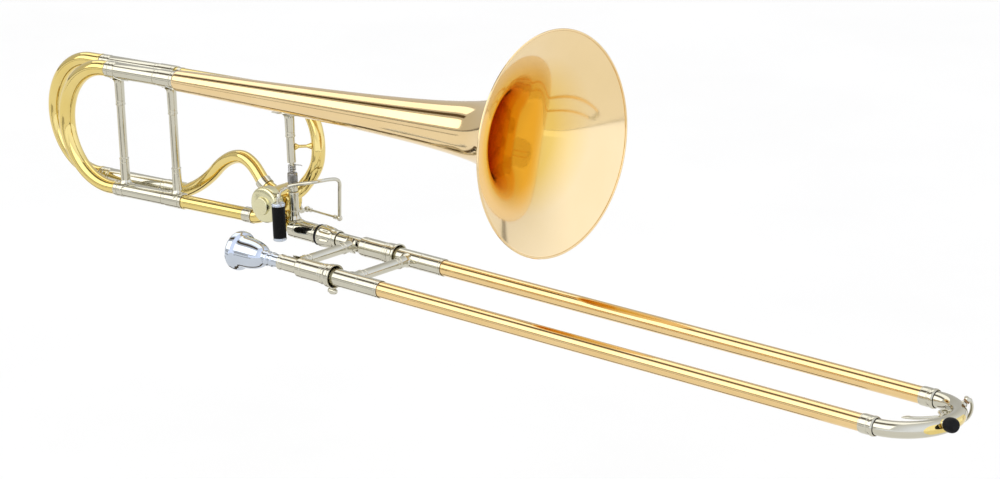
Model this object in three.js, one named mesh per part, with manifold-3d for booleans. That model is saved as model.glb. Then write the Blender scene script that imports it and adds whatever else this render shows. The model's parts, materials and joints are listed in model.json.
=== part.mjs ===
// Large-bore tenor trombone with an open-wrap F attachment, worked by a thumb-operated rotary valve.
// Millimetres. +X runs from the player towards the bell's mouth, +Y to the player's left, +Z up.
// The origin is the middle of the inner slide's brace, where the left hand holds the instrument.
// The hand slide is closed, and the valve stands at rest.
import * as THREE from 'three';
import { mergeVertices } from 'three/addons/utils/BufferGeometryUtils.js';
import Module from 'manifold-3d';

const wasm = await Module();
wasm.setup();

// ---- driving dimensions ----
const GAP = 0.3;                  // left between two pieces that touch
const SLIDE_SPREAD = 90;          // from one slide tube's axis to the other's
const OUTER_R = 7.8;              // hand slide's outer tubes
const OUTER_WALL = 0.35;
const INNER_R = 7.1;              // inner slide's tubes
const STOCKING_R = 7.25;          // the swelled end that the outer tube runs on
const INNER_END = 664;            // front end of the inner tubes
const BARREL_R = 9.8;             // cork barrels
const BARREL_START = 10;
const BARREL_END = 49;
const RING_END = 58;              // the ring at a barrel's mouth
const BRACE_R = 5.2;              // both slide braces
const OUTER_BRACE_X = 74;
const TUBE_START = 54;            // where the outer tubes begin with the slide closed
const SLEEVE_END = 118;           // nickel sleeves on the outer tubes
const BOW_FERRULE_START = 671;
const BOW_FERRULE_END = 685;
const BOW_CENTRE = 685.5;         // where the bow starts to turn
const BOW_DEPTH = 43;             // how far ahead of that its centreline reaches
const BOW_R = 7.4;
const BOW_TILT = THREE.MathUtils.degToRad(2);  // the bow's slight rise
const BUMPER_ANGLE = THREE.MathUtils.degToRad(-17);  // round the bow from straight ahead
const BUMPER_RISE = THREE.MathUtils.degToRad(5);

const BELL_PITCH = THREE.MathUtils.degToRad(2.7);  // the bell section rises towards the bell's mouth
const BELL_ROOT_X = -170.5;       // where the bell section's lower line crosses the slide's axis
const BELL_HEIGHT = 128.5;        // bell axis above the lower line
const BELL_RIM = 431.5;           // bell's mouth, along the bell section
const BELL_TAIL = -73;
const BELL_R = 108;               // an 8.5 inch bell
const BELL_WALL = 0.9;
const WALL = 0.7;                 // of every other tube
const LEG_GAP = 22.5;             // F tubes beside the main tubes
const SLEEVE_START = -177;        // main tuning slide's outer sleeves
const UPPER_R = 8.7;              // main tuning slide's sleeves
const LOWER_R = 7.7;
const NECK_R = 7.2;
const F_R = 7.7;                  // F tuning slide's sleeves
const F_TUBE_R = 7;
const F_UPPER = BELL_HEIGHT;      // F tubes' heights above the lower line
const F_LOWER = 4.3;
const F_UPPER_START = -210;
const F_LOWER_START = -222;
const F_SLEEVE_END = -97;
const F_STRAIGHT_END = 57;

const POST_R = 4.4;
const POST_X = [-162, -83];       // two upright posts between the tuning slide's sleeves
const BELL_POST_X = 86.5;         // the bell's own post, which the thumb lever turns on
const VALVE = { x: 63.5, z: 20.5, r: 15.5, front: -12, back: 19, ports: 6 };  // its axis is along Y
const ROTOR_R = 12.6;
const STOP_ARM_R = 16.5;          // from the valve's axis to the link's ball
const STOP_ARM_REST = THREE.MathUtils.degToRad(28);  // from straight down, towards the bell
const LINK_Y = 33.5;
const LEVER_Z = 38;               // the thumb lever's height above the lower line
const LEVER_END = { x: 116, y: 34, z: 2.8 };
const TOUCH = { x: 89, y: -24.6, top: 28, bottom: -11, r: 6.7 };

const TUBE_SIDES = 16;
const BEND_SIDES = 12;

// ---- colours ----
const finish = (name, color, roughness, metalness = 1) => () =>
  new THREE.MeshStandardMaterial({ name, color, roughness, metalness });
const roseBrass = finish('rose_brass', 0xe0b080, 0.16);
const yellowBrass = finish('yellow_brass', 0xdcb65c, 0.16);
const nickel = finish('nickel_silver', 0xd2d0bc, 0.18);
const silver = finish('silver_plate', 0xe2e4ea, 0.1);
const steel = finish('spring_steel', 0x9a9a98, 0.3);
const blackRubber = finish('black_rubber', 0x141414, 0.75, 0);
const blackPlastic = finish('black_plastic', 0x0c0c0c, 0.25, 0);
const cork = finish('cork', 0xb98a58, 0.9, 0);

// ---- geometry helpers ----
const trombone = new THREE.Group();
const v = (x, y, z) => new THREE.Vector3(x, y, z);
const ALONG_X = v(1, 0, 0);
const ALONG_Y = v(0, 1, 0);
const ALONG_Z = v(0, 0, 1);

function place(parent, name, geometry, material, at = v(0, 0, 0)) {
  const mesh = new THREE.Mesh(geometry, material());
  mesh.name = name;
  mesh.position.copy(at);
  parent.add(mesh);
  return mesh;
}

// A turned piece. The outline is [along, radius] pairs in order round the section; it turns about `axis`.
function turned(outline, sides = TUBE_SIDES, axis = ALONG_X) {
  const points = outline.map(([along, r]) => new THREE.Vector2(r, along));
  if (THREE.ShapeUtils.area(points) < 0) points.reverse();
  points.push(points[0].clone());
  const turn = new THREE.Quaternion().setFromUnitVectors(ALONG_Y, axis);
  return new THREE.LatheGeometry(points, sides).applyQuaternion(turn);
}

// A straight tube, or a bar where inner is 0.
function pipe(start, end, outer, inner, sides = TUBE_SIDES, axis = ALONG_X) {
  return turned([[start, inner], [end, inner], [end, outer], [start, outer]], sides, axis);
}

function bar(start, end, radius, sides = TUBE_SIDES, axis = ALONG_X) {
  return pipe(start, end, radius, 0, sides, axis);
}

function ringShape(outer, inner, sides) {
  const circle = (r) => Array.from({ length: sides }, (_, i) => {
    const angle = (i / sides) * 2 * Math.PI;
    return new THREE.Vector2(r * Math.cos(angle), r * Math.sin(angle));
  });
  const shape = new THREE.Shape(circle(outer));
  if (inner > 0) shape.holes.push(new THREE.Path(circle(inner)));
  return shape;
}

// A tube bent along a curve, or a rod where inner is 0.
function bent(curve, outer, inner, steps, sides = BEND_SIDES) {
  const settings = { extrudePath: curve, steps, bevelEnabled: false };
  return new THREE.ExtrudeGeometry(ringShape(outer, inner, sides), settings);
}

// Part of a curve, from one fraction of its length to another.
class Portion extends THREE.Curve {
  constructor(curve, from, to) {
    super();
    Object.assign(this, { curve, from, to });
  }
  getPoint(t, target = v(0, 0, 0)) {
    return this.curve.getPointAt(this.from + (this.to - this.from) * t, target);
  }
}

// Lets a bent tube's radius change along its curve.
function tapered(geometry, curve, steps, nominal, radiusAt) {
  const stations = Array.from({ length: steps + 1 }, (_, i) => curve.getPointAt(i / steps));
  const position = geometry.attributes.position;
  const corner = v(0, 0, 0);
  for (let i = 0; i < position.count; i += 1) {
    corner.fromBufferAttribute(position, i);
    const distances = stations.map((station) => station.distanceTo(corner));
    const nearest = distances.indexOf(Math.min(...distances));
    corner.sub(stations[nearest]).multiplyScalar(radiusAt(nearest / steps) / nominal).add(stations[nearest]);
    position.setXYZ(i, corner.x, corner.y, corner.z);
  }
  return geometry;
}

const smooth = (points) => new THREE.CatmullRomCurve3(points.map((p) => v(...p)), false, 'centripetal');

// Manifold solids, for joining and cutting.
function solid(geometry) {
  const bare = geometry.clone();
  bare.deleteAttribute('normal');
  bare.deleteAttribute('uv');
  const merged = mergeVertices(bare, 1e-4);
  return new wasm.Manifold(new wasm.Mesh({
    numProp: 3,
    vertProperties: new Float32Array(merged.attributes.position.array),
    triVerts: new Uint32Array(merged.index.array),
  }));
}

function fromSolid(body) {
  const mesh = body.getMesh();
  const geometry = new THREE.BufferGeometry();
  geometry.setAttribute('position', new THREE.BufferAttribute(mesh.vertProperties, 3));
  geometry.setIndex(new THREE.BufferAttribute(mesh.triVerts, 1));
  geometry.computeVertexNormals();
  return geometry;
}

const join = (...parts) => fromSolid(parts.map(solid).reduce((a, b) => a.add(b)));
const cut = (from, ...tools) => fromSolid(tools.map(solid).reduce((a, b) => a.subtract(b), solid(from)));
const overlap = (first, second) => fromSolid(solid(first).intersect(solid(second)));

// A half circle joining two parallel legs along X. It bulges towards +X (side 1) or -X (side -1).
class UBend extends THREE.Curve {
  constructor(start, end, firstLeg, lastLeg, side, depth = 1) {
    super();
    this.middle = start.clone().add(end).multiplyScalar(0.5);
    this.out = start.clone().sub(this.middle);
    this.radius = this.out.length();
    this.arc = Math.PI * this.radius;
    this.forward = v(side, 0, 0);
    Object.assign(this, { firstLeg, lastLeg, depth });
  }
  getPoint(t, target = v(0, 0, 0)) {
    const along = t * (this.arc + this.firstLeg + this.lastLeg) - this.firstLeg;
    const back = Math.max(0, -along, along - this.arc);
    const angle = THREE.MathUtils.clamp(along / this.radius, 0, Math.PI);
    return target.copy(this.middle)
      .addScaledVector(this.out, Math.cos(angle))
      .addScaledVector(this.forward, this.depth * this.radius * Math.sin(angle) - back);
  }
  getPointAt(t, target) {
    return this.getPoint(t, target);
  }
}

// ---- inner slide: held in the left hand ----
const HALF = SLIDE_SPREAD / 2;
const slideSides = { mouthpiece: -HALF, bell: HALF };

// A brace between the two slide tubes: a rod with a socket and a saddle at each end.
function slideBrace(x, tubeRadius, socketLength) {
  const reach = HALF - tubeRadius + 1;
  const socket = reach - socketLength;
  const half = [
    [reach, BRACE_R + 1.8], [reach - 3, BRACE_R + 0.4], [socket, BRACE_R + 0.4], [socket - 0.5, BRACE_R],
  ];
  const mirrored = half.map(([along, r]) => [-along, r]).reverse();
  const rod = turned([[-reach, 0], [reach, 0], ...half, ...mirrored], TUBE_SIDES, ALONG_Y);
  const saddles = [-HALF, HALF].map((y) => bar(-15, 15, tubeRadius + GAP).translate(0, y, 0));
  return cut(rod, ...saddles).translate(x, 0, 0);
}

function innerSlide() {
  for (const [name, y] of Object.entries(slideSides)) {
    const bore = INNER_R - 0.6;
    const tube = turned([
      [BARREL_START + 1, bore], [INNER_END, bore], [INNER_END, STOCKING_R], [INNER_END - 130, STOCKING_R],
      [INNER_END - 132, INNER_R], [BARREL_START + 1, INNER_R],
    ]);
    place(trombone, `inner_slide_tube_${name}`, tube, nickel, v(0, y, 0));
    const barrel = turned([
      [BARREL_START, INNER_R + GAP], [BARREL_START + 5, INNER_R + GAP], [BARREL_START + 5, BARREL_R - 0.9],
      [BARREL_END, BARREL_R - 0.9], [BARREL_END, BARREL_R + 0.7], [BARREL_END - 2, BARREL_R + 0.7],
      [BARREL_END - 3, BARREL_R + 0.2], [BARREL_END - 5, BARREL_R + 0.2], [BARREL_END - 6, BARREL_R + 0.5],
      [BARREL_END - 8, BARREL_R], [BARREL_START + 2, BARREL_R], [BARREL_START, BARREL_R - 1],
    ]);
    place(trombone, `cork_barrel_${name}`, barrel, nickel, v(0, y, 0));
  }
  const mouthRing = turned([
    [BARREL_END + GAP, BARREL_R - 0.8], [RING_END, BARREL_R + 0.9], [RING_END, BARREL_R + 2],
    [RING_END - 3, BARREL_R + 2], [BARREL_END + 3, BARREL_R + 0.8], [BARREL_END + GAP, BARREL_R + 0.8],
  ]);
  place(trombone, 'barrel_mouth_ring', mouthRing, nickel, v(0, HALF, 0));
  place(trombone, 'inner_slide_brace', slideBrace(0, 7.6, 13), nickel);
}

// ---- mouthpiece, its receiver and the slide lock ----
function mouthpieceEnd() {
  const receiver = turned([
    [-15, 6.6], [BARREL_START - GAP, 6.6], [BARREL_START - GAP, 7.6], [-9, 7.6],
    [-10, 7.3], [-12.5, 7.3], [-13, 7.8], [-15, 7.8],
  ]);
  place(trombone, 'mouthpiece_receiver', receiver, nickel, v(0, -HALF, 0));
  const cup = [[-72, 12.8], [-64, 12.4], [-54, 10.8], [-46, 7], [-40, 3.6]];
  const bore = [[-36, 3.2], [9, 4.8]];
  const shank = [[9, 5.7], [-24, 6.4], [-25, 7.2], [-27, 7.2], [-28, 6.2], [-30, 6.3], [-31, 7.4], [-34, 7.6]];
  const cupOutside = [[-37.6, 7.5], [-41.8, 9.8], [-45.2, 11.4], [-49.2, 12.7], [-54.2, 13.8], [-64, 15],
    [-66.4, 16.4], [-67.6, 18.9], [-69, 19.6], [-73, 19.6], [-74.6, 18.6], [-75.2, 16.4], [-74.2, 14.2]];
  const mouthpiece = turned([...cup, ...bore, ...shank, ...cupOutside], 22);
  place(trombone, 'mouthpiece', mouthpiece, silver, v(0, -HALF, 0));
  const lockRing = turned([
    [BARREL_END + GAP, BARREL_R - 0.8], [RING_END, BARREL_R + 1], [RING_END, BARREL_R + 2.4],
    [BARREL_END + 3, BARREL_R + 2.2], [BARREL_END + GAP, BARREL_R + 1.2],
  ]);
  const knob = turned([[0, 0], [0, 2], [4, 2], [4.6, 2.8], [6.6, 2.8], [7.2, 2], [7.2, 0]], 12, v(0, 0, -1));
  const knobAt = knob.translate(RING_END - 4.5, 0, -BARREL_R - 1);
  place(trombone, 'slide_lock_ring', join(lockRing, knobAt), nickel, v(0, -HALF, 0));
}

// ---- hand slide ----
function handSlide() {
  for (const [name, y] of Object.entries(slideSides)) {
    const tube = pipe(TUBE_START, BOW_FERRULE_END - 3, OUTER_R, OUTER_R - OUTER_WALL);
    place(trombone, `outer_slide_tube_${name}`, tube, roseBrass, v(0, y, 0));
    const sleeve = pipe(TUBE_START, SLEEVE_END, OUTER_R + 0.8, OUTER_R + 0.25);
    place(trombone, `outer_slide_sleeve_${name}`, sleeve, nickel, v(0, y, 0));
    const ferrule = turned([
      [BOW_FERRULE_START, OUTER_R + 0.25], [BOW_FERRULE_END, OUTER_R + 0.25],
      [BOW_FERRULE_END, OUTER_R + 0.9], [BOW_FERRULE_END - 2, OUTER_R + 1.5],
      [BOW_FERRULE_END - 4, OUTER_R + 1], [BOW_FERRULE_START, OUTER_R + 0.8],
    ]);
    place(trombone, `bow_ferrule_${name}`, ferrule, nickel, v(0, y, 0));
  }
  place(trombone, 'outer_slide_brace', slideBrace(OUTER_BRACE_X, OUTER_R + 0.8, 12), nickel);
}

// ---- the bow at the slide's front end ----
const bowEnd = new THREE.Group();
bowEnd.position.set(BOW_CENTRE, 0, 0);
bowEnd.rotation.y = -BOW_TILT;
trombone.add(bowEnd);

function bowCurve(leg, spread = 0, z = 0) {
  const depth = (BOW_DEPTH + spread) / (HALF + spread);
  return new UBend(v(0, -HALF - spread, z), v(0, HALF + spread, z), leg, leg, 1, depth);
}
const bowSpace = () => bent(bowCurve(3), BOW_R + GAP, 0, 18);

// The water key's parts are drawn in the X-Z plane, then turned so that X points out through the bow.
const KEY_ANGLE = THREE.MathUtils.degToRad(47);
const KEY_REACH = 44;             // from the bow's centre to its tube, where the water key is
const KEY_PIVOT = { x: 30, z: -3.2 };
const toKey = (geometry) => geometry.rotateZ(KEY_ANGLE);
const upAndOut = (geometry) => toKey(geometry.rotateY(-Math.PI / 4).translate(KEY_REACH, 0, 0));

function bow() {
  const nipple = upAndOut(turned([[3, 0], [9.2, 0], [9.2, 2.2], [8.2, 2.8], [3, 2.8]], 12));
  const drain = upAndOut(bar(2, 11, 1.4, 12));
  const shell = join(bent(bowCurve(2.2), BOW_R, 0, 18), nipple);
  place(bowEnd, 'slide_bow', cut(shell, bent(bowCurve(5), BOW_R - 0.6, 0, 18), drain), nickel);
}

// A sprung lever that passes under the bow, with its pad on the bow's upper front side.
function waterKey() {
  const { x, z } = KEY_PIVOT;
  const block = new THREE.BoxGeometry(4, 12, 5).translate(KEY_REACH - BOW_R - 0.6, 0, -0.5);
  const lug = (y) => new THREE.BoxGeometry(KEY_REACH - BOW_R - x + 2.4, 1.4, 4.4)
    .translate((KEY_REACH - BOW_R + x - 2) / 2, y, z + 0.6);
  const hole = bar(-8, 8, 1.1, 12, ALONG_Y).translate(x, 0, z);
  const saddleBlock = toKey(cut(join(block, lug(-5.2), lug(5.2)), hole));
  place(bowEnd, 'water_key_saddle', cut(saddleBlock, bowSpace()), nickel);
  const pin = turned([[-7.2, 0], [7.2, 0], [7.2, 1.9], [6.3, 1.9], [6.3, 0.8], [-7.2, 0.8]], 12, ALONG_Y);
  place(bowEnd, 'water_key_pivot_pin', toKey(pin.translate(x, 0, z)), steel);

  const arm = smooth([
    [-1, 0, -4], [8, 0, -5.2], [20, 0, -5.6], [28, 0, -5.8], [34.5, 0, -9.2], [42, 0, -11.6], [49, 0, -10.2],
    [54.2, 0, -5], [56, 0, 2], [55, 0, 8], [53.8, 0, 9.6],
  ]);
  const spur = new THREE.SphereGeometry(3.4, 10, 6).scale(1.8, 0.9, 0.36).translate(1, 0, -4);
  const barrel = bar(-4.2, 4.2, 2.4, 12, ALONG_Y).translate(x, 0, z);
  const cup = turned([[11.8, 0], [13.8, 0], [14.4, 2], [13, 3.9], [11.2, 3.9], [11.2, 3.4], [11.8, 3.4]], 14)
    .rotateY(-Math.PI / 4).translate(KEY_REACH, 0, 0);
  const bored = bar(-5, 5, 1.1, 12, ALONG_Y).translate(x, 0, z);
  const lever = cut(join(bent(arm, 1.5, 0, 16, 6), spur, cup, barrel), bored);
  place(bowEnd, 'water_key_lever', toKey(lever), nickel);
  place(bowEnd, 'water_key_pad', upAndOut(bar(9.5, 11.4, 2.9, 14)), cork);
}

// The brass guard soldered along the bow's front, and the rubber bumper screwed to it.
function bowGuard() {
  const strip = bent(new Portion(bowCurve(0, 4.9, 0.4), 0.28, 0.62), 3.4, 0, 12, 10);
  const boss = bar(BOW_DEPTH, BOW_DEPTH + 9, 3, 12).rotateY(-BUMPER_RISE).rotateZ(BUMPER_ANGLE);
  place(bowEnd, 'bow_guard', cut(join(strip, boss), bowSpace()), yellowBrass);
  const outline = [[9.3, 0], [9.3, 4.6], [11.6, 6.2], [15, 6.6], [19.5, 6], [21.4, 4], [21.4, 0]];
  const bumper = turned(outline.map(([along, r]) => [along + BOW_DEPTH, r]), 14)
    .rotateY(-BUMPER_RISE).rotateZ(BUMPER_ANGLE);
  place(bowEnd, 'rubber_bumper', bumper, blackRubber);
}
// ---- bell section: everything on its slightly rising line ----
const bellSection = new THREE.Group();
bellSection.position.set(BELL_ROOT_X, HALF, 0);
bellSection.rotation.y = -BELL_PITCH;
trombone.add(bellSection);

// The bell's outer radius a distance back from its mouth: a slim horn that opens into a deep bowl.
const flare = (back) => {
  const horn = 5540 / (back + 26.85) ** 1.25;
  const bowl = 90 / (1 + back / 107.6) ** 3;
  return 17.1 - 0.016 * back + THREE.MathUtils.lerp(bowl, horn, THREE.MathUtils.smoothstep(back, 60, 110));
};

function bell() {
  const stations = [4, 11, 20, 32, 48, 68, 92, 140, 220, 330, 470];
  const outside = stations.map((back) => [BELL_RIM - back, flare(back)]);
  const inside = stations.map((back) => [BELL_RIM - back, flare(back) - BELL_WALL]);
  const shell = turned([
    [BELL_RIM, BELL_R - 3], ...inside, [BELL_TAIL + 6, 9.6], [BELL_TAIL, 8],
    [BELL_TAIL, UPPER_R + 0.6], [BELL_TAIL + 1.4, 10.6], [BELL_TAIL + 4, 11.1], ...outside.reverse(),
    [BELL_RIM - 0.6, BELL_R], [BELL_RIM + 0.6, BELL_R - 0.6], [BELL_RIM + 1, BELL_R - 1.8],
  ], 36);
  place(bellSection, 'bell', shell, roseBrass, v(0, 0, BELL_HEIGHT));
}

// Each tuning slide: two outer sleeves, two inner legs and the crook that joins the legs.
const slides = {
  main: {
    y: 0, crookR: 8.2, bend: -184,
    upper: { z: BELL_HEIGHT, start: SLEEVE_START, end: BELL_TAIL - GAP, sleeveR: UPPER_R, legR: 7.2 },
    lower: { z: 0, start: SLEEVE_START + 1, end: BELL_TAIL - GAP, sleeveR: LOWER_R, legR: 6 },
    taper: (t) => 8.2 - 1.3 * t + 1.2 * Math.sin(Math.PI * t),
  },
  f: {
    y: LEG_GAP, crookR: 7.6, bend: -229.5,
    upper: { z: F_UPPER, start: F_UPPER_START, end: F_SLEEVE_END, sleeveR: F_R, legR: 6.5 },
    lower: { z: F_LOWER, start: F_LOWER_START, end: F_SLEEVE_END, sleeveR: F_R, legR: 6.5 },
    taper: () => 7.6,
  },
};

function tuningSlide(name, { y, crookR, bend, upper, lower, taper }) {
  for (const [level, { z, start, end, sleeveR, legR }] of Object.entries({ upper, lower })) {
    const sleeve = turned([
      [start, legR + GAP], [end, legR + GAP], [end, sleeveR + 0.5], [end - 24, sleeveR + 0.5],
      [end - 24.4, sleeveR], [start + 12, sleeveR], [start + 11.6, sleeveR + 0.3], [start, sleeveR + 0.3],
    ]);
    place(bellSection, `${name}_tuning_sleeve_${level}`, sleeve, nickel, v(0, y, z));
    const leg = pipe(start - 7, end - 12, legR, legR - 0.5);
    place(bellSection, `${name}_tuning_leg_${level}`, leg, nickel, v(0, y, z));
  }
  const legs = [upper.start - GAP - bend, lower.start - GAP - bend];
  const curve = new UBend(v(bend, y, upper.z), v(bend, y, lower.z), ...legs, -1);
  const steps = 18;
  const crook = tapered(bent(curve, crookR, crookR - WALL, steps), curve, steps, crookR, taper);
  place(bellSection, `${name}_tuning_crook`, crook, yellowBrass);
}

// ---- neckpipe, F tubing and the rotary valve ----
const humpCurve = smooth([
  [F_SLEEVE_END + GAP, LEG_GAP, F_LOWER], [-93.5, LEG_GAP, F_LOWER + 0.1], [-83.5, 22, 8.4], [-72, 21, 14],
  [-61, 19.5, 20.4], [-47, 17.5, 30], [-33, 16, 41.5], [-19, 14.5, 50], [-5, 13, 54.8], [8, 11, 55.6],
  [21.5, 9, 50.5], [31.5, 7, 43], [41, 5, 34.6], [48, 5, 30.5], [55, 6, 27],
]);
const HUMP_JOINT = 0.922;          // where the hump's tube gives way to the valve's own knuckle

const frontCurve = smooth([
  [F_STRAIGHT_END + GAP, 22, F_UPPER], [67, 22, F_UPPER], [82, 21.8, 123.5], [95, 21, 111], [103, 20, 97],
  [106.8, 18.5, 80], [105, 17.6, 62.2], [96.8, 17.8, 48.8], [87.4, 18, 38.6], [82.2, 15.6, 32],
  [78.4, 10, 28], [71, 6.6, 25],
]);
const FRONT_JOINT = 0.87;

const neckCurve = smooth([
  [23.3, 0, 0], [32, 0, 0], [41, 1.6, 3.2], [49.5, 4.4, 9], [56.5, 6, 15],
]);
const throatCurve = smooth([
  [70, 6, 14.5], [71.6, 5, 7.5], [74.4, 2.6, 1], [79, 0.6, -3.3], [85, 0, -4.02], [92, 0, -4.33],
]);

function tubing() {
  const neck = pipe(BELL_TAIL, 23, NECK_R, NECK_R - WALL);
  place(bellSection, 'neckpipe', neck, yellowBrass);
  const ferrule = turned([
    [17, NECK_R + GAP], [29, NECK_R + GAP], [29, NECK_R + 0.8], [28, NECK_R + 1.1], [26.5, NECK_R + 0.9],
    [17, NECK_R + 0.9],
  ]);
  place(bellSection, 'neckpipe_ferrule', ferrule, nickel);
  const hump = bent(new Portion(humpCurve, 0, HUMP_JOINT), F_TUBE_R, F_TUBE_R - WALL, 18);
  place(bellSection, 'f_lower_bend', hump, yellowBrass);
  const humpRing = bent(new Portion(humpCurve, HUMP_JOINT - 0.032, HUMP_JOINT + 0.018), F_TUBE_R + 1.2,
    F_TUBE_R + 0.6, 4);
  place(bellSection, 'f_lower_bend_ferrule', humpRing, nickel);
  const straight = (r, extra) => bar(F_SLEEVE_END + GAP - extra, F_STRAIGHT_END + 1, r, BEND_SIDES)
    .translate(0, LEG_GAP, F_UPPER);
  const front = (r, past) => bent(new Portion(frontCurve, 0, FRONT_JOINT + past), r, 0, 17);
  const run = cut(join(straight(F_TUBE_R, 0), front(F_TUBE_R, 0)), straight(F_TUBE_R - WALL, 5),
    front(F_TUBE_R - WALL, 0.01));
  place(bellSection, 'f_front_bend', run, yellowBrass);
}

function valve() {
  const at = v(VALVE.x, 0, VALVE.z);
  const knuckles = [
    [neckCurve, 0, 1, NECK_R], [throatCurve, 0, 1, 6.6],
    [humpCurve, HUMP_JOINT + 0.002, 1, F_TUBE_R], [frontCurve, FRONT_JOINT + 0.002, 1, F_TUBE_R],
  ];
  const outer = knuckles.map(([curve, from, to, r]) => bent(new Portion(curve, from, to), r, 0, 6));
  const inner = knuckles.map(([curve, from, to, r]) => bent(new Portion(curve, Math.max(0, from - 0.02), to),
    r - 1.6, 0, 6, 8));
  const drum = bar(VALVE.front, VALVE.back, VALVE.r, 20, ALONG_Y).translate(at.x, 0, at.z);
  const bore = bar(VALVE.front - 1, VALVE.back + 1, ROTOR_R + GAP, 20, ALONG_Y).translate(at.x, 0, at.z);
  const mouth = bar(90, 94, 9).translate(0, 0, -4.3);
  place(bellSection, 'valve_casing', cut(join(drum, ...outer), bore, mouth, ...inner), yellowBrass);

  const cap = turned([
    [-12.3, 0], [-12.3, 15.8], [-8.6, 15.8], [-8.6, 17.8], [-9.4, 18.5], [-18.6, 18.5], [-20.4, 17.4],
    [-21.6, 13.5], [-22, 7.8], [-24, 7.8], [-25.2, 6.6], [-25.2, 0],
  ], 26, ALONG_Y);
  place(bellSection, 'valve_front_cap', cap, nickel, at);
  const plate = turned([[19.3, 4.4], [21.6, 4.4], [21.6, 11], [20.8, 14.5], [19.3, 14.5]], 20, ALONG_Y);
  place(bellSection, 'valve_rear_plate', plate, nickel, at);

  const core = bar(-11.7, 18.7, ROTOR_R, 20, ALONG_Y);
  const stem = bar(17, 28.6, 4, 14, ALONG_Y);
  const passage = (side) => bent(new UBend(v(side * ROTOR_R * 1.42, VALVE.ports, -ROTOR_R * 1.42 + 0.01),
    v(side * ROTOR_R * 1.42, VALVE.ports, ROTOR_R * 1.42), 0, 0, -side), 4.4, 0, 10, 8);
  const channels = [-1, 1].map((side) => passage(side).scale(0.72, 1, 1).rotateY(Math.PI / 2));
  place(bellSection, 'valve_rotor', cut(join(core, stem), ...channels), yellowBrass, at);

  const reach = v(Math.sin(STOP_ARM_REST), 0, -Math.cos(STOP_ARM_REST)).multiplyScalar(STOP_ARM_R);
  const hub = pipe(22, 28.2, 6.4, 4.3, 20, ALONG_Y);
  const arm = new THREE.BoxGeometry(STOP_ARM_R - 4.5, 3.2, 4.6).translate(STOP_ARM_R / 2 + 2.25, 26, 0)
    .rotateY(Math.PI / 2 - STOP_ARM_REST);
  const stud = turned([[24.4, 0], [28.9, 0], [28.9, 1.3], [27.6, 1.3], [27.6, 2.6], [24.4, 2.6]], 12, ALONG_Y)
    .translate(reach.x, 0, reach.z);
  place(bellSection, 'valve_stop_arm', join(hub, arm, stud), nickel, at);
  return at.clone().add(reach).setY(LINK_Y);
}

// ---- posts ----
// A saddle wraps part of a tube; its outline from above is a diamond.
function saddle(tubeRadius, length, width) {
  const shell = pipe(-length, length, tubeRadius + GAP + 0.8, tubeRadius + GAP, 16);
  const diamond = new THREE.CylinderGeometry(1, 1, tubeRadius + 4, 4)
    .rotateX(Math.PI / 2).scale(length, width, 1).translate(0, 0, (tubeRadius + 4) / 2);
  return overlap(shell, diamond);
}

// An upright post: thick sockets at its ends, and a saddle on each tube it joins.
function postBetween(x, lower, upper, outline, footLength = 10) {
  const foot = saddle(lower.r, footLength, 6.5).translate(x, 0, lower.z);
  const head = saddle(upper.r, 10, 6.5).rotateX(Math.PI).translate(x, 0, upper.z);
  const post = turned(outline, 14, ALONG_Z).translate(x, 0, 0);
  const tubes = [lower, upper].map(({ r, z, tilt = 0, spread = 0 }) => turned([
    [-20, 0], [20, 0], [20, r + GAP + spread], [-20, r + GAP - spread]], 32).rotateY(tilt).translate(x, 0, z));
  return cut(join(post, foot, head), ...tubes);
}

const socket = (from, to) => {
  const step = Math.sign(to - from);
  return [[from, POST_R + 0.5], [to - step, POST_R + 0.5], [to - step * 0.5, POST_R + 0.7], [to, POST_R]];
};

function posts() {
  POST_X.forEach((x, index) => {
    const band = index * 0.5;
    const upper = { z: BELL_HEIGHT, r: UPPER_R + band };
    const lower = { z: 0, r: LOWER_R + band };
    const [bottom, top] = [LOWER_R - 2, BELL_HEIGHT - UPPER_R + 2];
    const outline = [[bottom, 0], ...socket(bottom, 35.5), ...socket(top, 91.5).reverse(), [top, 0]];
    const name = index === 0 ? 'rear_post' : 'middle_post';
    place(bellSection, name, postBetween(x, lower, upper, outline), nickel);
  });
  const receiverZ = -BELL_POST_X * Math.tan(BELL_PITCH);
  const lower = { z: receiverZ, r: 9.8, tilt: BELL_PITCH };
  const back = BELL_RIM - BELL_POST_X;
  const upper = { z: BELL_HEIGHT, r: flare(back), spread: (flare(back - 20) - flare(back + 20)) / 2 };
  const top = BELL_HEIGHT - upper.r + 3;
  const outline = [
    [4, 0], [4, 4.9], [33, 4.9], [34, 4.4], [34, 2.4], [64, 2.4], [64, POST_R],
    ...socket(top, 90).reverse(), [top, 0],
  ];
  place(bellSection, 'bell_post', postBetween(BELL_POST_X, lower, upper, outline, 5), nickel);
  const toBend = v(20.2, 18.5, 0);
  const reach = toBend.length() - F_TUBE_R - 0.5;
  const spacer = turned([
    [5, 0], [5, 3.4], [6.4, 2.8], [8, 1.6], [reach - 3, 1.6], [reach - 1.4, 2.8], [reach, 3.2], [reach, 0],
  ], 12).rotateZ(Math.atan2(toBend.y, toBend.x));
  place(bellSection, 'f_bend_spacer', spacer, yellowBrass, v(BELL_POST_X, 0, 80));
}

// Short stays that hold the F tuning slide's sleeves beside the main ones.
function sleeveStays() {
  const stay = (name, x, z, from, to) => place(bellSection, name,
    turned([[from, 0], [from, 3.6], [from + 1, 2.6], [to - 1, 2.6], [to, 3.6], [to, 0]], 12, ALONG_Y),
    nickel, v(x, 0, z));
  stay('sleeve_stay_upper', -128, BELL_HEIGHT + 0.5, UPPER_R + 0.5, LEG_GAP - F_R - 0.5);
  stay('sleeve_stay_lower', -128, 1.6, LOWER_R + 0.5, LEG_GAP - F_R - 0.5);
}

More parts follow.
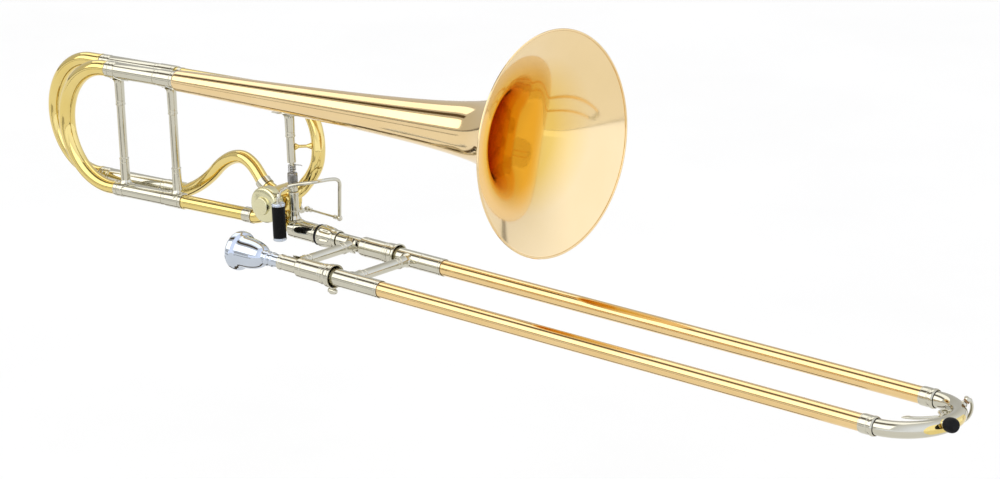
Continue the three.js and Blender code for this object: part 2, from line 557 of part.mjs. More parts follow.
// ---- thumb lever, its return spring and the link to the valve ----
function thumbLever(pin) {
  const at = v(BELL_POST_X, 0, 0);
  const collarOutline = [[41.5, 2.7], [53.6, 2.7], [53.6, 4.6], [52.6, 5.2], [42.5, 5.2], [41.5, 4.6]];
  const collar = turned(collarOutline, 20, ALONG_Z);
  place(bellSection, 'spring_collar', collar, nickel, at);
  const coil = [];
  for (let i = 0; i <= 36; i += 1) {
    const angle = (i / 36) * 8 * Math.PI;
    coil.push([3.7 * Math.cos(angle), -3.7 * Math.sin(angle), 54.6 + i * 0.2]);
  }
  coil.push([7, -0.4, 62.2], [11, -0.6, 62.8], [14, 0, 62.4]);
  place(bellSection, 'lever_spring', bent(smooth(coil), 0.5, 0, 72, 4), steel, at);

  const hub = bar(34.4, 41.2, 5, 20, ALONG_Z);
  const left = bent(smooth([[3, -3, LEVER_Z], [3, -12, LEVER_Z - 0.5], [1.5, -20, LEVER_Z - 1.2],
    [TOUCH.x - BELL_POST_X + 0.2, TOUCH.y + 0.9, 35.2], [TOUCH.x - BELL_POST_X, TOUCH.y, TOUCH.top + 1.6],
    [TOUCH.x - BELL_POST_X, TOUCH.y, TOUCH.top - 1]]), 1.7, 0, 13, 6);
  const right = bent(smooth([[3.5, -1, LEVER_Z + 0.4], [10.5, -3.5, 42.8], [20, -3.6, 45.7], [30.2, 4.4, 47.3],
    [33, 19.7, 46.6], [32.9, 29.6, 44.2], [32.2, 33.6, 40], [31.4, 34, 32], [29.5, 34, LEVER_END.z + 1]]),
  1.9, 0, 20, 6);
  const end = new THREE.SphereGeometry(3, 10, 7).translate(LEVER_END.x - BELL_POST_X, LEVER_END.y, LEVER_END.z);
  const hole = bar(30, 45, 2.7, 16, ALONG_Z);
  place(bellSection, 'thumb_lever', cut(join(hub, left, right, end), hole), nickel, at);

  const { top, bottom, r } = TOUCH;
  const spool = turned([
    [bottom, 0], [top, 0], [top, r - 0.6], [top - 0.8, r + 0.2], [top - 3.2, r + 0.2], [top - 3.2, 3],
    [bottom + 3.2, 3], [bottom + 3.2, r + 0.2], [bottom + 0.8, r + 0.2], [bottom, r - 0.6],
  ], TUBE_SIDES, ALONG_Z);
  const stem = bar(top - 3, top + 3, 1.9, 12, ALONG_Z);
  place(bellSection, 'touchpiece_spool', cut(spool, stem), silver, v(TOUCH.x, TOUCH.y, 0));
  const sleeve = pipe(bottom + 3.5, top - 3.5, r, 3.3, TUBE_SIDES, ALONG_Z);
  place(bellSection, 'touchpiece_sleeve', sleeve, blackPlastic, v(TOUCH.x, TOUCH.y, 0));

  const away = v(LEVER_END.x, LEVER_END.y, LEVER_END.z).sub(pin);
  const length = away.length();
  const rod = turned([
    [0, 0], [length - 3.8, 0], [length - 3.8, 2.2], [length - 7, 2.2], [length - 7.5, 1.2], [6, 1.2], [5, 2.2],
    [2.2, 2.6], [0.8, 3.2], [-0.8, 3.2], [-2.6, 2], [-3, 0],
  ], 12, away.clone().normalize());
  place(bellSection, 'link_rod', rod, nickel, pin);
}

// ---- receiver of the bell section and the nut that locks it to the slide ----
function bellReceiver() {
  const receiver = turned([
    [-87, 6.9], [-72, 6.9], [-72, 7.1], [-49.5, 7.1], [-49.5, 9.8], [-86.4, 9.8], [-87, 9.2],
  ]);
  place(trombone, 'bell_receiver', receiver, nickel, v(0, HALF, 0));
  place(trombone, 'lock_nut_washer', turned([[-49.2, 7.9], [-46.3, 7.9], [-46.3, 10.8], [-49.2, 10.8]], 24),
    blackRubber, v(0, HALF, 0));
  const nut = turned([
    [-46, 8.2], [-22, 8.2], [-22, 8.9], [-28, 9.5], [-29, 10], [-36, 10.8], [-44, 11.3], [-46, 10.8],
  ], 12);
  place(trombone, 'bell_lock_nut', nut, nickel, v(0, HALF, 0));
  const tenon = turned([
    [-68, 5.9], [BARREL_START - GAP, 5.9], [BARREL_START - GAP, 7.6], [-48, 7.6], [-48, 6.8], [-68, 6.5],
  ]);
  place(trombone, 'slide_tenon', tenon, nickel, v(0, HALF, 0));
}

bell();
innerSlide();
mouthpieceEnd();
handSlide();
bow();
waterKey();
bowGuard();
tuningSlide('main', slides.main);
tuningSlide('f', slides.f);
tubing();
const linkPin = valve();
posts();
sleeveStays();
thumbLever(linkPin);
bellReceiver();

export default trombone;
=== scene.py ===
"""Looks for the large-bore tenor trombone with an F attachment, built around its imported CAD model.

Shapes are written in millimetres in the frame of their own section (hand slide, bell section or slide
bow), with straight runs measured from the CAD nodes, and become metres in the row frame when a piece
is made.
"""
import json
from math import acos, atan2, cos, hypot, pi, radians, sin, sqrt, tan

import bpy
import numpy as np
from mathutils import Matrix, Vector

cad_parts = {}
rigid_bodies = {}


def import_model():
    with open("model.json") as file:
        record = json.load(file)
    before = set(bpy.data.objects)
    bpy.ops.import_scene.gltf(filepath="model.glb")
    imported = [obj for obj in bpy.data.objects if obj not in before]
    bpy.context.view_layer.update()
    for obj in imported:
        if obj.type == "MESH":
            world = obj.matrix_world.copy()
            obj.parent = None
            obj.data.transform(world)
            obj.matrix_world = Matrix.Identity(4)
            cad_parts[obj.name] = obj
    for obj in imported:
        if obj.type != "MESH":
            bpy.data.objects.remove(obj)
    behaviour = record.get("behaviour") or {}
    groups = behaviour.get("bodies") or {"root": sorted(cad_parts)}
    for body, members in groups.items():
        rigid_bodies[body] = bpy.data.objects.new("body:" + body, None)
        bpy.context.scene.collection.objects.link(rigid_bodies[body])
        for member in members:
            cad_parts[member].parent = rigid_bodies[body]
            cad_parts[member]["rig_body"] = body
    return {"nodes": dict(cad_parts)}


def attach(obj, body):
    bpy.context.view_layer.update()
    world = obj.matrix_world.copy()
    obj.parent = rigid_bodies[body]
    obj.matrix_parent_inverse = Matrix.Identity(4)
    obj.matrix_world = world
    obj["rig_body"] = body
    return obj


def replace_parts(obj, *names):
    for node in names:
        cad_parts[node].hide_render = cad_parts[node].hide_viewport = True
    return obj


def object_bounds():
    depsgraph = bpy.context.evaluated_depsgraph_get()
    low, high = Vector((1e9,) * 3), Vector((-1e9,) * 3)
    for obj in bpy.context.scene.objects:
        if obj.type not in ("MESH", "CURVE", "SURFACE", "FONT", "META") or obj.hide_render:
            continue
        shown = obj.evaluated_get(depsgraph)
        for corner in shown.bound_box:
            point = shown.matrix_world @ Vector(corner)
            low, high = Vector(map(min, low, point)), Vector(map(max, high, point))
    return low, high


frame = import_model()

cad_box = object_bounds()

MM = 0.001
HALF = 45.0                 # a slide tube's axis from the middle plane
BELL_PITCH = radians(2.7)
BELL_ROOT_X = -170.5
BELL_HEIGHT = 128.5
BELL_RIM = 431.5
BELL_TAIL = -73.0
BELL_WALL = 0.9
BELL_SIDES = 192
BEAD_R = 106.9              # from the bell's axis to the middle of its rolled rim
LEG_GAP = 22.5              # F tubing beside the main tubing
BOW_CENTRE = 685.5
BOW_DEPTH = 43.0
BOW_R = 7.4
BOW_TILT = radians(2)
KEY_ANGLE = radians(47)
KEY_REACH = 44.0
KEY_PIVOT_X = 30.0
KEY_PIVOT_Z = -3.2
BUMPER_ANGLE = radians(-17)
BUMPER_RISE = radians(5)
POST_R = 4.4
RECEIVER_R = 9.85
BELL_POST_X = 86.5
STAY_X = -128
MAIN_BEND_X = -184          # where the main crook's half circle starts
F_BEND_X = -229.5
VALVE_X = 63.5
VALVE_Z = 20.5
STOP_ARM_R = 16.5
STOP_ARM_REST = radians(28)
LINK_Y = 33.5
LEVER_BALL = (116, 34, 2.8)

SLIDE = Matrix.Identity(4)
BELL = Matrix.Translation((BELL_ROOT_X, HALF, 0)) @ Matrix.Rotation(-BELL_PITCH, 4, "Y")
BOW = Matrix.Translation((BOW_CENTRE, 0, 0)) @ Matrix.Rotation(-BOW_TILT, 4, "Y")
KEY = BOW @ Matrix.Rotation(KEY_ANGLE, 4, "Z")
BUMPER = BOW @ Matrix.Rotation(BUMPER_ANGLE, 4, "Z") @ Matrix.Rotation(-BUMPER_RISE, 4, "Y")
ALONG_X, ALONG_Y, ALONG_Z = (1, 0, 0), (0, 1, 0), (0, 0, 1)


# ---- shapes: a shape is (points, faces), closed and facing out ----
def facing_out(points, faces):
    """Turns the faces round if the closed shape is inside out."""
    corners = np.array([(face[0], b, c) for face in faces for b, c in zip(face[1:], face[2:])])
    first, second, third = (points[corners[:, k]] for k in range(3))
    if np.einsum("ij,ij->", first, np.cross(second, third)) < 0:
        faces = [tuple(reversed(face)) for face in faces]
    return points, faces


def moved(shape, matrix):
    points, faces = shape
    m = np.array(matrix)
    return points @ m[:3, :3].T + m[:3, 3], faces


def shifted(shape, x=0.0, y=0.0, z=0.0):
    return shape[0] + np.array([x, y, z]), shape[1]


def joined(*shapes):
    points = []
    faces = []
    total = 0
    for own_points, own_faces in shapes:
        faces += [tuple(i + total for i in face) for face in own_faces]
        points.append(own_points)
        total += len(own_points)
    return np.vstack(points), faces


def softened(outline, size):
    """Rounds each sharp corner of a closed outline, and holds the straight runs flat beside it."""
    made = []
    count = len(outline)
    corners = [np.array(p, float) for p in outline]
    for i, corner in enumerate(corners):
        before, after = corners[i - 1] - corner, corners[(i + 1) % count] - corner
        reach_before, reach_after = np.linalg.norm(before), np.linalg.norm(after)
        if corner[1] < 1e-6 or reach_before < 1e-6 or reach_after < 1e-6:
            made.append(corner)
            continue
        before, after = before / reach_before, after / reach_after
        turn = acos(np.clip(-np.dot(before, after), -1, 1))
        cut = min(size, 0.38 * reach_before, 0.38 * reach_after)
        if turn < radians(14):
            made.append(corner)
            continue
        made.append(corner + before * cut * 1.25)
        for t in (0, 0.3, 0.7, 1):
            made.append(corner + before * cut * (1 - t) ** 2 + after * cut * t ** 2)
        made.append(corner + after * cut * 1.25)
    return made


def lathe(outline, sides=56, axis=ALONG_X, at=(0, 0, 0), soft=0.3):
    """A turned shape. The closed outline is [along, radius] pairs in order round the section."""
    if soft:
        outline = softened(outline, soft)
    angles = np.arange(sides) * (2 * pi / sides)
    around = np.stack([np.cos(angles), np.sin(angles)], 1)
    points = []
    rings = []
    for along, r in outline:
        wide = r > 1e-6
        rings.append((len(points), wide))
        points += [(along, *(r * way)) for way in around] if wide else [(along, 0, 0)]
    faces = []
    for (a, wide_a), (b, wide_b) in zip(rings, rings[1:] + rings[:1]):
        for i in range(sides):
            j = (i + 1) % sides
            if wide_a and wide_b:
                faces.append((a + i, a + j, b + j, b + i))
            elif wide_a:
                faces.append((a + i, a + j, b))
            elif wide_b:
                faces.append((a, b + j, b + i))
    turn = Vector(ALONG_X).rotation_difference(Vector(axis)).to_matrix().to_4x4()
    points, faces = moved((np.array(points), faces), Matrix.Translation(at) @ turn)
    return facing_out(points, faces)


def steps(along, r, *pairs):
    """Outline points, each given by its distances from one place on the outline."""
    return [[along + a, r + b] for a, b in pairs]


def groove(along, r):
    """A turned groove in an outline that runs back towards low X."""
    return steps(along, r, (0.4, 0), (0.3, -0.6), (-0.5, -0.6), (-0.6, 0))


def pipe(start, end, inner, outer):
    """The outline of a plain tube's wall."""
    return [[start, inner], [end, inner], [end, outer], [start, outer]]


def smooth(outline, step, ease=2):
    """An outline respaced along a flowing curve."""
    return [p[:2] for p in spline([(a, r, 0) for a, r in outline], step, ease)]


def spline(control, step=1.0, ease=2):
    """Evenly spaced points on a centripetal curve through the control points, eased so reflections flow."""
    p = [np.array(c, float) for c in control]
    p = [2 * p[0] - p[1], *p, 2 * p[-1] - p[-2]]
    dense = []
    for a, b, c, d in zip(p, p[1:], p[2:], p[3:]):
        da, db, dc = (sqrt(np.linalg.norm(n - m)) or 1 for m, n in ((a, b), (b, c), (c, d)))
        leave = ((b - a) / da - (c - a) / (da + db) + (c - b) / db) * db
        arrive = ((c - b) / db - (d - b) / (db + dc) + (d - c) / dc) * db
        for t in np.arange(0, 1, 0.05):
            dense.append((2 * t**3 - 3 * t**2 + 1) * b + (t**3 - 2 * t**2 + t) * leave
                         + (3 * t**2 - 2 * t**3) * c + (t**3 - t**2) * arrive)
    dense.append(p[-2])
    path = evenly(np.array(dense), step)
    for _ in range(ease):
        path[1:-1] = (path[:-2] + 2 * path[1:-1] + path[2:]) / 4
    return path


def evenly(path, step):
    """A path with its points respaced to about one step apart."""
    lengths = np.concatenate([[0], np.cumsum(np.linalg.norm(np.diff(path, axis=0), axis=1))])
    count = max(3, int(round(lengths[-1] / step)) + 1)
    stations = np.linspace(0, lengths[-1], count)
    return np.stack([np.interp(stations, lengths, path[:, k]) for k in range(3)], 1)


def portion(path, start, end):
    """Part of a path, from one fraction of its length to another."""
    last = len(path) - 1
    return path[int(round(start * last)):int(round(end * last)) + 1]


def u_bend(start, end, first_leg, last_leg, side, depth=1.0, steps=96):
    """A half circle, or half ellipse, joining two parallel legs along X."""
    start, end = np.array(start, float), np.array(end, float)
    middle, out = (start + end) / 2, (start - end) / 2
    radius = np.linalg.norm(out)
    forward = np.array([side, 0, 0])
    bend = [middle + out * cos(a) + forward * depth * radius * sin(a)
            for a in np.linspace(0, pi, steps)]
    legs = [[start - forward * first_leg], [end - forward * last_leg]]
    return np.array([*(legs[0] if first_leg else []), *bend, *(legs[1] if last_leg else [])])


def sweep(path, radius, inner=0.0, sides=40, across=1.0, deep=1.0, up=(0, 0, 1)):
    """A tube or rod along a path. The radius is a number, or a function of the fraction along the path."""
    count = len(path)
    ways = np.gradient(path, axis=0)
    ways /= np.linalg.norm(ways, axis=1)[:, None]
    normal = np.cross(np.array(up, float), ways[0])
    if np.linalg.norm(normal) < 0.1:
        normal = np.cross(np.array([0, 1, 0.3]), ways[0])
    normals = []
    for way in ways:
        normal = normal - way * np.dot(normal, way)
        normal /= np.linalg.norm(normal)
        normals.append(normal)
    angles = np.arange(sides) * (2 * pi / sides)
    radii = [radius(i / (count - 1)) if callable(radius) else radius for i in range(count)]
    skins = [radii] if not inner else [radii, [r - (radii[0] - inner) for r in radii]]
    points = []
    for skin in skins:
        for place, way, side, r in zip(path, ways, normals, skin):
            other = np.cross(way, side)
            for a in angles:
                points.append(place + r * (across * cos(a) * side + deep * sin(a) * other))
    faces = []
    for skin in range(len(skins)):
        base = skin * count * sides
        for k in range(count - 1):
            for i in range(sides):
                a, b = base + k * sides + i, base + k * sides + (i + 1) % sides
                face = (a, b, b + sides, a + sides)
                faces.append(face if skin == 0 else face[::-1])
    last = (count - 1) * sides
    if inner:
        for k, ring in ((0, 0), (1, last)):
            for i in range(sides):
                a, b = ring + i, ring + (i + 1) % sides
                face = (a + count * sides, b + count * sides, b, a)
                faces.append(face if k == 0 else face[::-1])
    else:
        faces.append(tuple(range(sides))[::-1])
        faces.append(tuple(last + i for i in range(sides)))
    return facing_out(np.array(points), faces)


def round_ended(radius, start=0.0, end=0.0):
    """A rod's radius along its path, drawn in over the fractions `start` and `end` to make round ends."""
    def at(t):
        ease = 1.0
        if start and t < start:
            ease = sqrt(max(0.02, 1 - (1 - t / start) ** 2))
        if end and t > 1 - end:
            ease = min(ease, sqrt(max(0.02, 1 - (1 - (1 - t) / end) ** 2)))
        return radius * ease
    return at


def shell(top, bottom):
    """A closed sheet between two grids of points of the same size."""
    rows, columns = top.shape[:2]
    points = np.vstack([top.reshape(-1, 3), bottom.reshape(-1, 3)])
    size = rows * columns
    faces = []
    for i in range(rows - 1):
        for j in range(columns - 1):
            a = i * columns + j
            faces.append((a, a + 1, a + columns + 1, a + columns))
            faces.append((a + size, a + columns + size, a + columns + 1 + size, a + 1 + size))
    rim = [(0, j) for j in range(columns)] + [(i, columns - 1) for i in range(1, rows)]
    rim += [(rows - 1, j) for j in range(columns - 2, -1, -1)] + [(i, 0) for i in range(rows - 2, 0, -1)]
    ring = [i * columns + j for i, j in rim]
    for a, b in zip(ring, ring[1:] + ring[:1]):
        faces.append((a, a + size, b + size, b))
    return facing_out(points, faces)


def saddle(radius, at, towards, length, width, axis=ALONG_X, thick=0.75, point=1.35):
    """A thin diamond plate wrapped on a tube, such as a post's foot."""
    along, out = np.array(axis, float), np.array(towards, float)
    side = np.cross(along, out)
    grids = []
    for lift in (thick, -0.15):
        rows = []
        for u in np.linspace(-1, 1, 25):
            half_angle = (width * (1 - abs(u)) ** point + 0.5) / radius
            edge = 1 if lift > 0 else 1.04
            rows.append([np.array(at) + along * u * length + (radius + lift) * (
                out * cos(v * half_angle * edge) + side * sin(v * half_angle * edge))
                for v in np.linspace(-1, 1, 13)])
        grids.append(np.array(rows))
    return shell(*grids)


def block(low, high, soft=0.5):
    """A box with rounded edges, made as a softened square section drawn through its depth."""
    low, high = np.array(low, float), np.array(high, float)
    centre, half = (low + high) / 2, (high - low) / 2
    soft = min(soft, 0.45 * min(half) * 2)
    levels = [(-1, soft), (-1, soft * 0.3), (-1, 0), (1, 0), (1, soft * 0.3), (1, soft)]
    heights = [0, soft * 0.3, soft, soft, soft * 0.3, 0]
    rings = []
    for (side, inset), lift in zip(levels, heights):
        corners = []
        for sx, sy in ((1, 1), (-1, 1), (-1, -1), (1, -1)):
            for step in range(5):
                a = (atan2(sy, sx) - pi / 4) + step * pi / 8
                corners.append((sx * (half[0] - soft) + (soft - inset * 0.99) * cos(a),
                                sy * (half[1] - soft) + (soft - inset * 0.99) * sin(a)))
        z = side * (half[2] - lift)
        rings.append([centre + np.array([cx, cy, z]) for cx, cy in corners])
    count = len(rings[0])
    points = np.array(rings).reshape(-1, 3)
    faces = []
    for k in range(len(rings) - 1):
        for i in range(count):
            a, b = k * count + i, k * count + (i + 1) % count
            faces.append((a, b, b + count, a + count))
    faces.append(tuple(range(count))[::-1])
    faces.append(tuple((len(rings) - 1) * count + i for i in range(count)))
    return facing_out(points, faces)


def outside(shape, radius, at=(0, 0, 0), axis=ALONG_X):
    """Moves points that lie inside a round tube out onto its surface."""
    points, faces = shape
    way = np.array(axis, float) / np.linalg.norm(axis)
    from_axis = points - np.array(at, float)
    from_axis = from_axis - np.outer(from_axis @ way, way)
    distance = np.maximum(np.linalg.norm(from_axis, axis=1), 1e-6)
    push = np.maximum(radius - distance, 0)
    return points + from_axis * (push / distance)[:, None], faces


# ---- pieces ----
SHARP_EDGE = radians(38)


def span(node, section=SLIDE):
    """Lowest and highest corner of a CAD node in a section's own millimetres."""
    back = section.inverted()
    points = np.array([back @ (v.co / MM) for v in frame["nodes"][node].data.vertices])
    return points.min(0), points.max(0)


def run_of(node, section=SLIDE):
    """Where a straight round node starts and ends along X, and its radius."""
    low, high = span(node, section)
    return low[0], high[0], (high[2] - low[2]) / 2


def axis_of(node, section=SLIDE):
    """A point on a straight node's axis, level with its section's origin."""
    low, high = span(node, section)
    return 0, (low[1] + high[1]) / 2, (low[2] + high[2]) / 2


def make(name, shape, finish, body, section):
    points, faces = moved(shape, section)
    mesh = bpy.data.meshes.new(name)
    mesh.from_pydata((points * MM).tolist(), [], faces)
    mesh.shade_smooth()
    mesh.set_sharp_from_angle(angle=SHARP_EDGE)
    mesh.materials.append(finishes[finish])
    obj = bpy.data.objects.new(name, mesh)
    bpy.context.scene.collection.objects.link(obj)
    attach(obj, body)
    return obj


def fine(node, shape, finish="nickel_silver", section=SLIDE):
    """The finished piece that stands for a CAD node."""
    made = make(node + "_fine", shape, finish, frame["nodes"][node]["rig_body"], section)
    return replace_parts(made, node)


def on_bell(node, shape, finish="nickel_silver"):
    """A finished piece of the bell section."""
    return fine(node, shape, finish, BELL)


def turned(node, outline, sides=56, soft=0.3, finish="nickel_silver", section=SLIDE):
    """A finished piece turned on its own CAD node's axis."""
    return fine(node, lathe(outline, sides, at=axis_of(node, section), soft=soft), finish, section)


def detail(name, shape, finish, body, section=BELL):
    """A small piece that the CAD model leaves out."""
    return make(name, shape, finish, body, section)


# ---- finishes ----
LACQUER = 0.04              # the weight of the thin lacquer outside, and of the thick one inside the bell
BELL_LACQUER = 0.6
LACQUER_TINT = (1, 0.93, 0.78)
# The bell's inside colours are painted light: a pale painted highlight at the flare, and a deep gold painted
# inter-reflection in the throat.
PAINTED_HIGHLIGHT_ROSE = (0.84, 0.67, 0.40)
PAINTED_HIGHLIGHT_ROSE_DRIFT = (0.82, 0.65, 0.375)
PAINTED_REFLECTION_GOLD = (0.82, 0.56, 0.13)
PAINTED_HIGHLIGHT_DEPTH = 0.016          # how far into the bell the pale painted highlight reaches, in metres
PAINTED_REFLECTION_DEPTH = 0.042        # where the deep gold of painted inter-reflection is full, in metres


def fed(value, target):
    """Gives a socket a number, a colour or another node's output."""
    if isinstance(value, bpy.types.NodeSocket):
        target.id_data.links.new(value, target)
    elif target.type == "RGBA":
        target.default_value = (*value, 1)
    else:
        target.default_value = value


def node(tree, kind, **settings):
    made = tree.nodes.new(kind)
    for key, value in settings.items():
        setattr(made, key, value)
    return made


def object_point(tree, axis=None, kind="Object"):
    """Object or world coordinates, or one axis of them."""
    where = node(tree, "ShaderNodeTexCoord").outputs[kind]
    if axis is None:
        return where
    split = node(tree, "ShaderNodeSeparateXYZ")
    fed(where, split.inputs["Vector"])
    return split.outputs[axis]


def noise(tree, scale, stretch=(1, 1, 1), levels=3.0):
    """A noise texture, stretched so that it runs along or round the tubes."""
    mapping = node(tree, "ShaderNodeMapping")
    fed(stretch, mapping.inputs["Scale"])
    fed(object_point(tree), mapping.inputs["Vector"])
    made = node(tree, "ShaderNodeTexNoise")
    fed(scale, made.inputs["Scale"])
    fed(levels, made.inputs["Detail"])
    fed(mapping.outputs["Vector"], made.inputs["Vector"])
    return made.outputs["Fac"]


def ranged(tree, value, low, high, at_low=0.3, at_high=0.7):
    """A value mapped from one range to another, and held at its ends."""
    made = node(tree, "ShaderNodeMapRange")
    for socket, number in (("From Min", at_low), ("From Max", at_high), ("To Min", low), ("To Max", high)):
        fed(number, made.inputs[socket])
    fed(value, made.inputs["Value"])
    return made.outputs["Result"]


def mixed(tree, factor, first, second, kind="RGBA"):
    made = node(tree, "ShaderNodeMix", data_type=kind)
    fed(factor, made.inputs["Factor"])
    fed(first, made.inputs["A"])
    fed(second, made.inputs["B"])
    return made.outputs["Result"]


def product(tree, first, second):
    made = node(tree, "ShaderNodeMath", operation="MULTIPLY")
    fed(first, made.inputs[0])
    fed(second, made.inputs[1])
    return made.outputs["Value"]


def bumped(tree, height, strength, distance):
    made = node(tree, "ShaderNodeBump")
    fed(strength, made.inputs["Strength"])
    fed(distance, made.inputs["Distance"])
    fed(height, made.inputs["Height"])
    return made.outputs["Normal"]


def new_finish(name):
    made = bpy.data.materials.new(name)
    made.use_nodes = True
    tree = made.node_tree
    return made, tree, tree.nodes["Principled BSDF"].inputs


def polished(name, colour, shade, gloss, haze, lacquer=0.0):
    """Polished metal: slight drifts of colour, hazier patches, and fine marks of the buffing wheel."""
    made, tree, surface = new_finish(name)
    drift = ranged(tree, noise(tree, 22), 0, 1)
    marks = noise(tree, 900, (1, 0.08, 0.08), 2)
    fed(mixed(tree, drift, colour, shade), surface["Base Color"])
    fed(ranged(tree, noise(tree, 60, levels=5), gloss, haze), surface["Roughness"])
    fed(bumped(tree, marks, 0.012, 0.0001), surface["Normal"])
    fed(1, surface["Metallic"])
    fed(lacquer, surface["Coat Weight"])
    fed(0.03, surface["Coat Roughness"])
    fed(LACQUER_TINT, surface["Coat Tint"])
    return made


def moulded(name, colour, shade, roughness, grain, depth):
    """Rubber, plastic or cork: a mottled colour and a fine grain."""
    made, tree, surface = new_finish(name)
    mottle = ranged(tree, noise(tree, grain * 0.3, levels=4), 0, 1)
    fed(mixed(tree, mottle, colour, shade), surface["Base Color"])
    fed(ranged(tree, noise(tree, grain), roughness - 0.06, roughness + 0.08), surface["Roughness"])
    fed(bumped(tree, noise(tree, grain, levels=6), depth, 0.0004), surface["Normal"])
    fed(0.12, surface["Specular IOR Level"])
    return made


def bell_inside():
    """The bell's inner lacquer, with painted light in its colour: paler at the flare as a painted highlight,
    and a deeper gold from the throat on as painted inter-reflection.
    """
    made = polished("rose brass bell, inside", PAINTED_HIGHLIGHT_ROSE, PAINTED_HIGHLIGHT_ROSE_DRIFT, 0.08, 0.12, BELL_LACQUER)
    tree = made.node_tree
    colour = tree.nodes["Principled BSDF"].inputs["Base Color"]
    mouth = (BELL @ Vector((BELL_RIM, 0, BELL_HEIGHT))).x * MM
    # Painted light: the colour blends from the pale painted highlight at the mouth to the deep gold painted
    # inter-reflection in the throat.
    depth = ranged(tree, object_point(tree, "X"), 1, 0, mouth - PAINTED_REFLECTION_DEPTH, mouth - PAINTED_HIGHLIGHT_DEPTH)
    fed(mixed(tree, depth, colour.links[0].from_socket, PAINTED_REFLECTION_GOLD), colour)
    return made


finishes = {
    "rose_brass": polished("rose brass, lacquered", (0.82, 0.595, 0.29), (0.79, 0.56, 0.255), 0.05, 0.09,
                           LACQUER),
    "bell_brass": polished("rose brass bell, lacquered", (0.82, 0.625, 0.345), (0.79, 0.59, 0.31), 0.06, 0.1,
                           LACQUER),
    "yellow_brass": polished("yellow brass, lacquered", (0.775, 0.615, 0.235), (0.745, 0.575, 0.19), 0.05,
                             0.09, LACQUER),
    "nickel_silver": polished("nickel silver, polished", (0.60, 0.575, 0.47), (0.55, 0.525, 0.425), 0.06,
                              0.11),
    "cap_silver": polished("pale nickel silver, turned", (0.70, 0.67, 0.43), (0.67, 0.63, 0.40), 0.14, 0.2),
    # The knurled finish is darker than plain nickel silver as painted shade of the knurl's fine grooves.
    "knurled_silver_painted_shade": polished("nickel silver, knurled, painted groove shade", (0.36, 0.35, 0.32), (0.28, 0.27, 0.25), 0.24, 0.32),
    "silver_plate": polished("silver plate, polished", (0.56, 0.605, 0.67), (0.51, 0.555, 0.62), 0.05, 0.08),
    "spring_steel": polished("spring steel", (0.48, 0.48, 0.47), (0.40, 0.40, 0.40), 0.2, 0.3),
    "black_rubber": moulded("black rubber", (0.004, 0.004, 0.005), (0.007, 0.007, 0.008), 0.55, 1400, 0.15),
    "black_plastic": moulded("black plastic", (0.002, 0.002, 0.002), (0.003, 0.003, 0.003), 0.5, 900, 0.01),
    "cork": moulded("cork", (0.42, 0.25, 0.12), (0.27, 0.15, 0.07), 0.85, 1800, 0.6),
}


# ---- the hand slide and what the left hand holds ----
SLIDE_SIDES = ("mouthpiece", "bell")
STOCKING = 130.0            # the thicker end of an inner tube, on which the outer tube runs


def inner_slide():
    for name in SLIDE_SIDES:
        start, end, stocking = run_of("inner_slide_tube_" + name)
        bare, bore = stocking - 0.15, stocking - 0.75
        turned("inner_slide_tube_" + name, [
            [start, bore], [end, bore], [end, stocking], [end - STOCKING, stocking],
            [end - STOCKING - 2, bare], [start, bare],
        ], soft=0.15)
        cork_barrel("cork_barrel_" + name)
    start, end, outer = run_of("barrel_mouth_ring")
    turned("barrel_mouth_ring", [
        [start, outer - 2.8], *steps(end, outer, (-2, -2.2), (0, -1.1), (0, 0), (-2.2, 0), (-3.4, -0.9)),
        *steps(start, outer, (2.6, -1.2), (0, -1.2)),
    ], soft=0.5)
    fine("inner_slide_brace", brace("inner_slide_brace", 9.8, 13))


def cork_barrel(node):
    start, end, outer = run_of(node)
    r = outer - 0.7
    turned(node, [
        [start, 7.4], [start + 5, 7.4], [start + 5, r - 0.9],
        *steps(end, r, (0, -0.9), (0, 0.7), (-2, 0.7), (-2.6, 0.1), (-3.4, 0.1), (-3.8, 0.5), (-5.4, 0.5),
               (-6, -0.35), (-6.8, -0.35), (-7.2, 0)),
        *steps(start, r, (9.4, 0), (9, -0.35), (8.4, -0.35), (8, 0), (2, 0), (0.6, -0.5), (0, -1.2)),
    ])


def brace(node_name, hug, socket_length):
    """A slide brace: a rod with a ringed socket at each end, its ends shaped to the tubes they meet."""
    low, high = span(node_name)
    x, z, rod = (low[0] + high[0]) / 2, (low[2] + high[2]) / 2, 5.2
    reach = high[1]
    half = [
        *steps(reach, rod, (2, 2.2), (-1.2, 1.5), (-3.2, 0.6)),
        *steps(reach - socket_length, rod, (2.4, 0.5), (2.2, 0.8), (0.9, 0.8), (0.7, 0.4), (0, 0.4),
               (-0.4, 0), (-3, 0), (-3.2, -0.4), (-3.8, -0.4), (-4, 0)),
    ]
    mirrored = [[-along, r] for along, r in reversed(half)]
    shape = lathe([[-reach - 2, 0], [reach + 2, 0], *half, *mirrored], axis=ALONG_Y, at=(x, 0, z), soft=0.25)
    plates = []
    for side in (-1, 1):
        y = side * HALF
        shape = outside(shape, hug + 0.02, (0, y, z))
        plates.append(saddle(hug + 0.1, (x, y, z), (0, -side, 0), 13, 6.5, thick=0.6))
    return joined(shape, *plates)


def mouthpiece_receiver():
    start, end, outer = run_of("mouthpiece_receiver")
    turned("mouthpiece_receiver", [
        [start, 6.6], [end, 6.6], [end, outer - 0.2],
        *steps(start, outer, (7.4, -0.2), (7, -0.5), (3, -0.5), (2.4, 0), (0, 0)),
    ], soft=0.4)


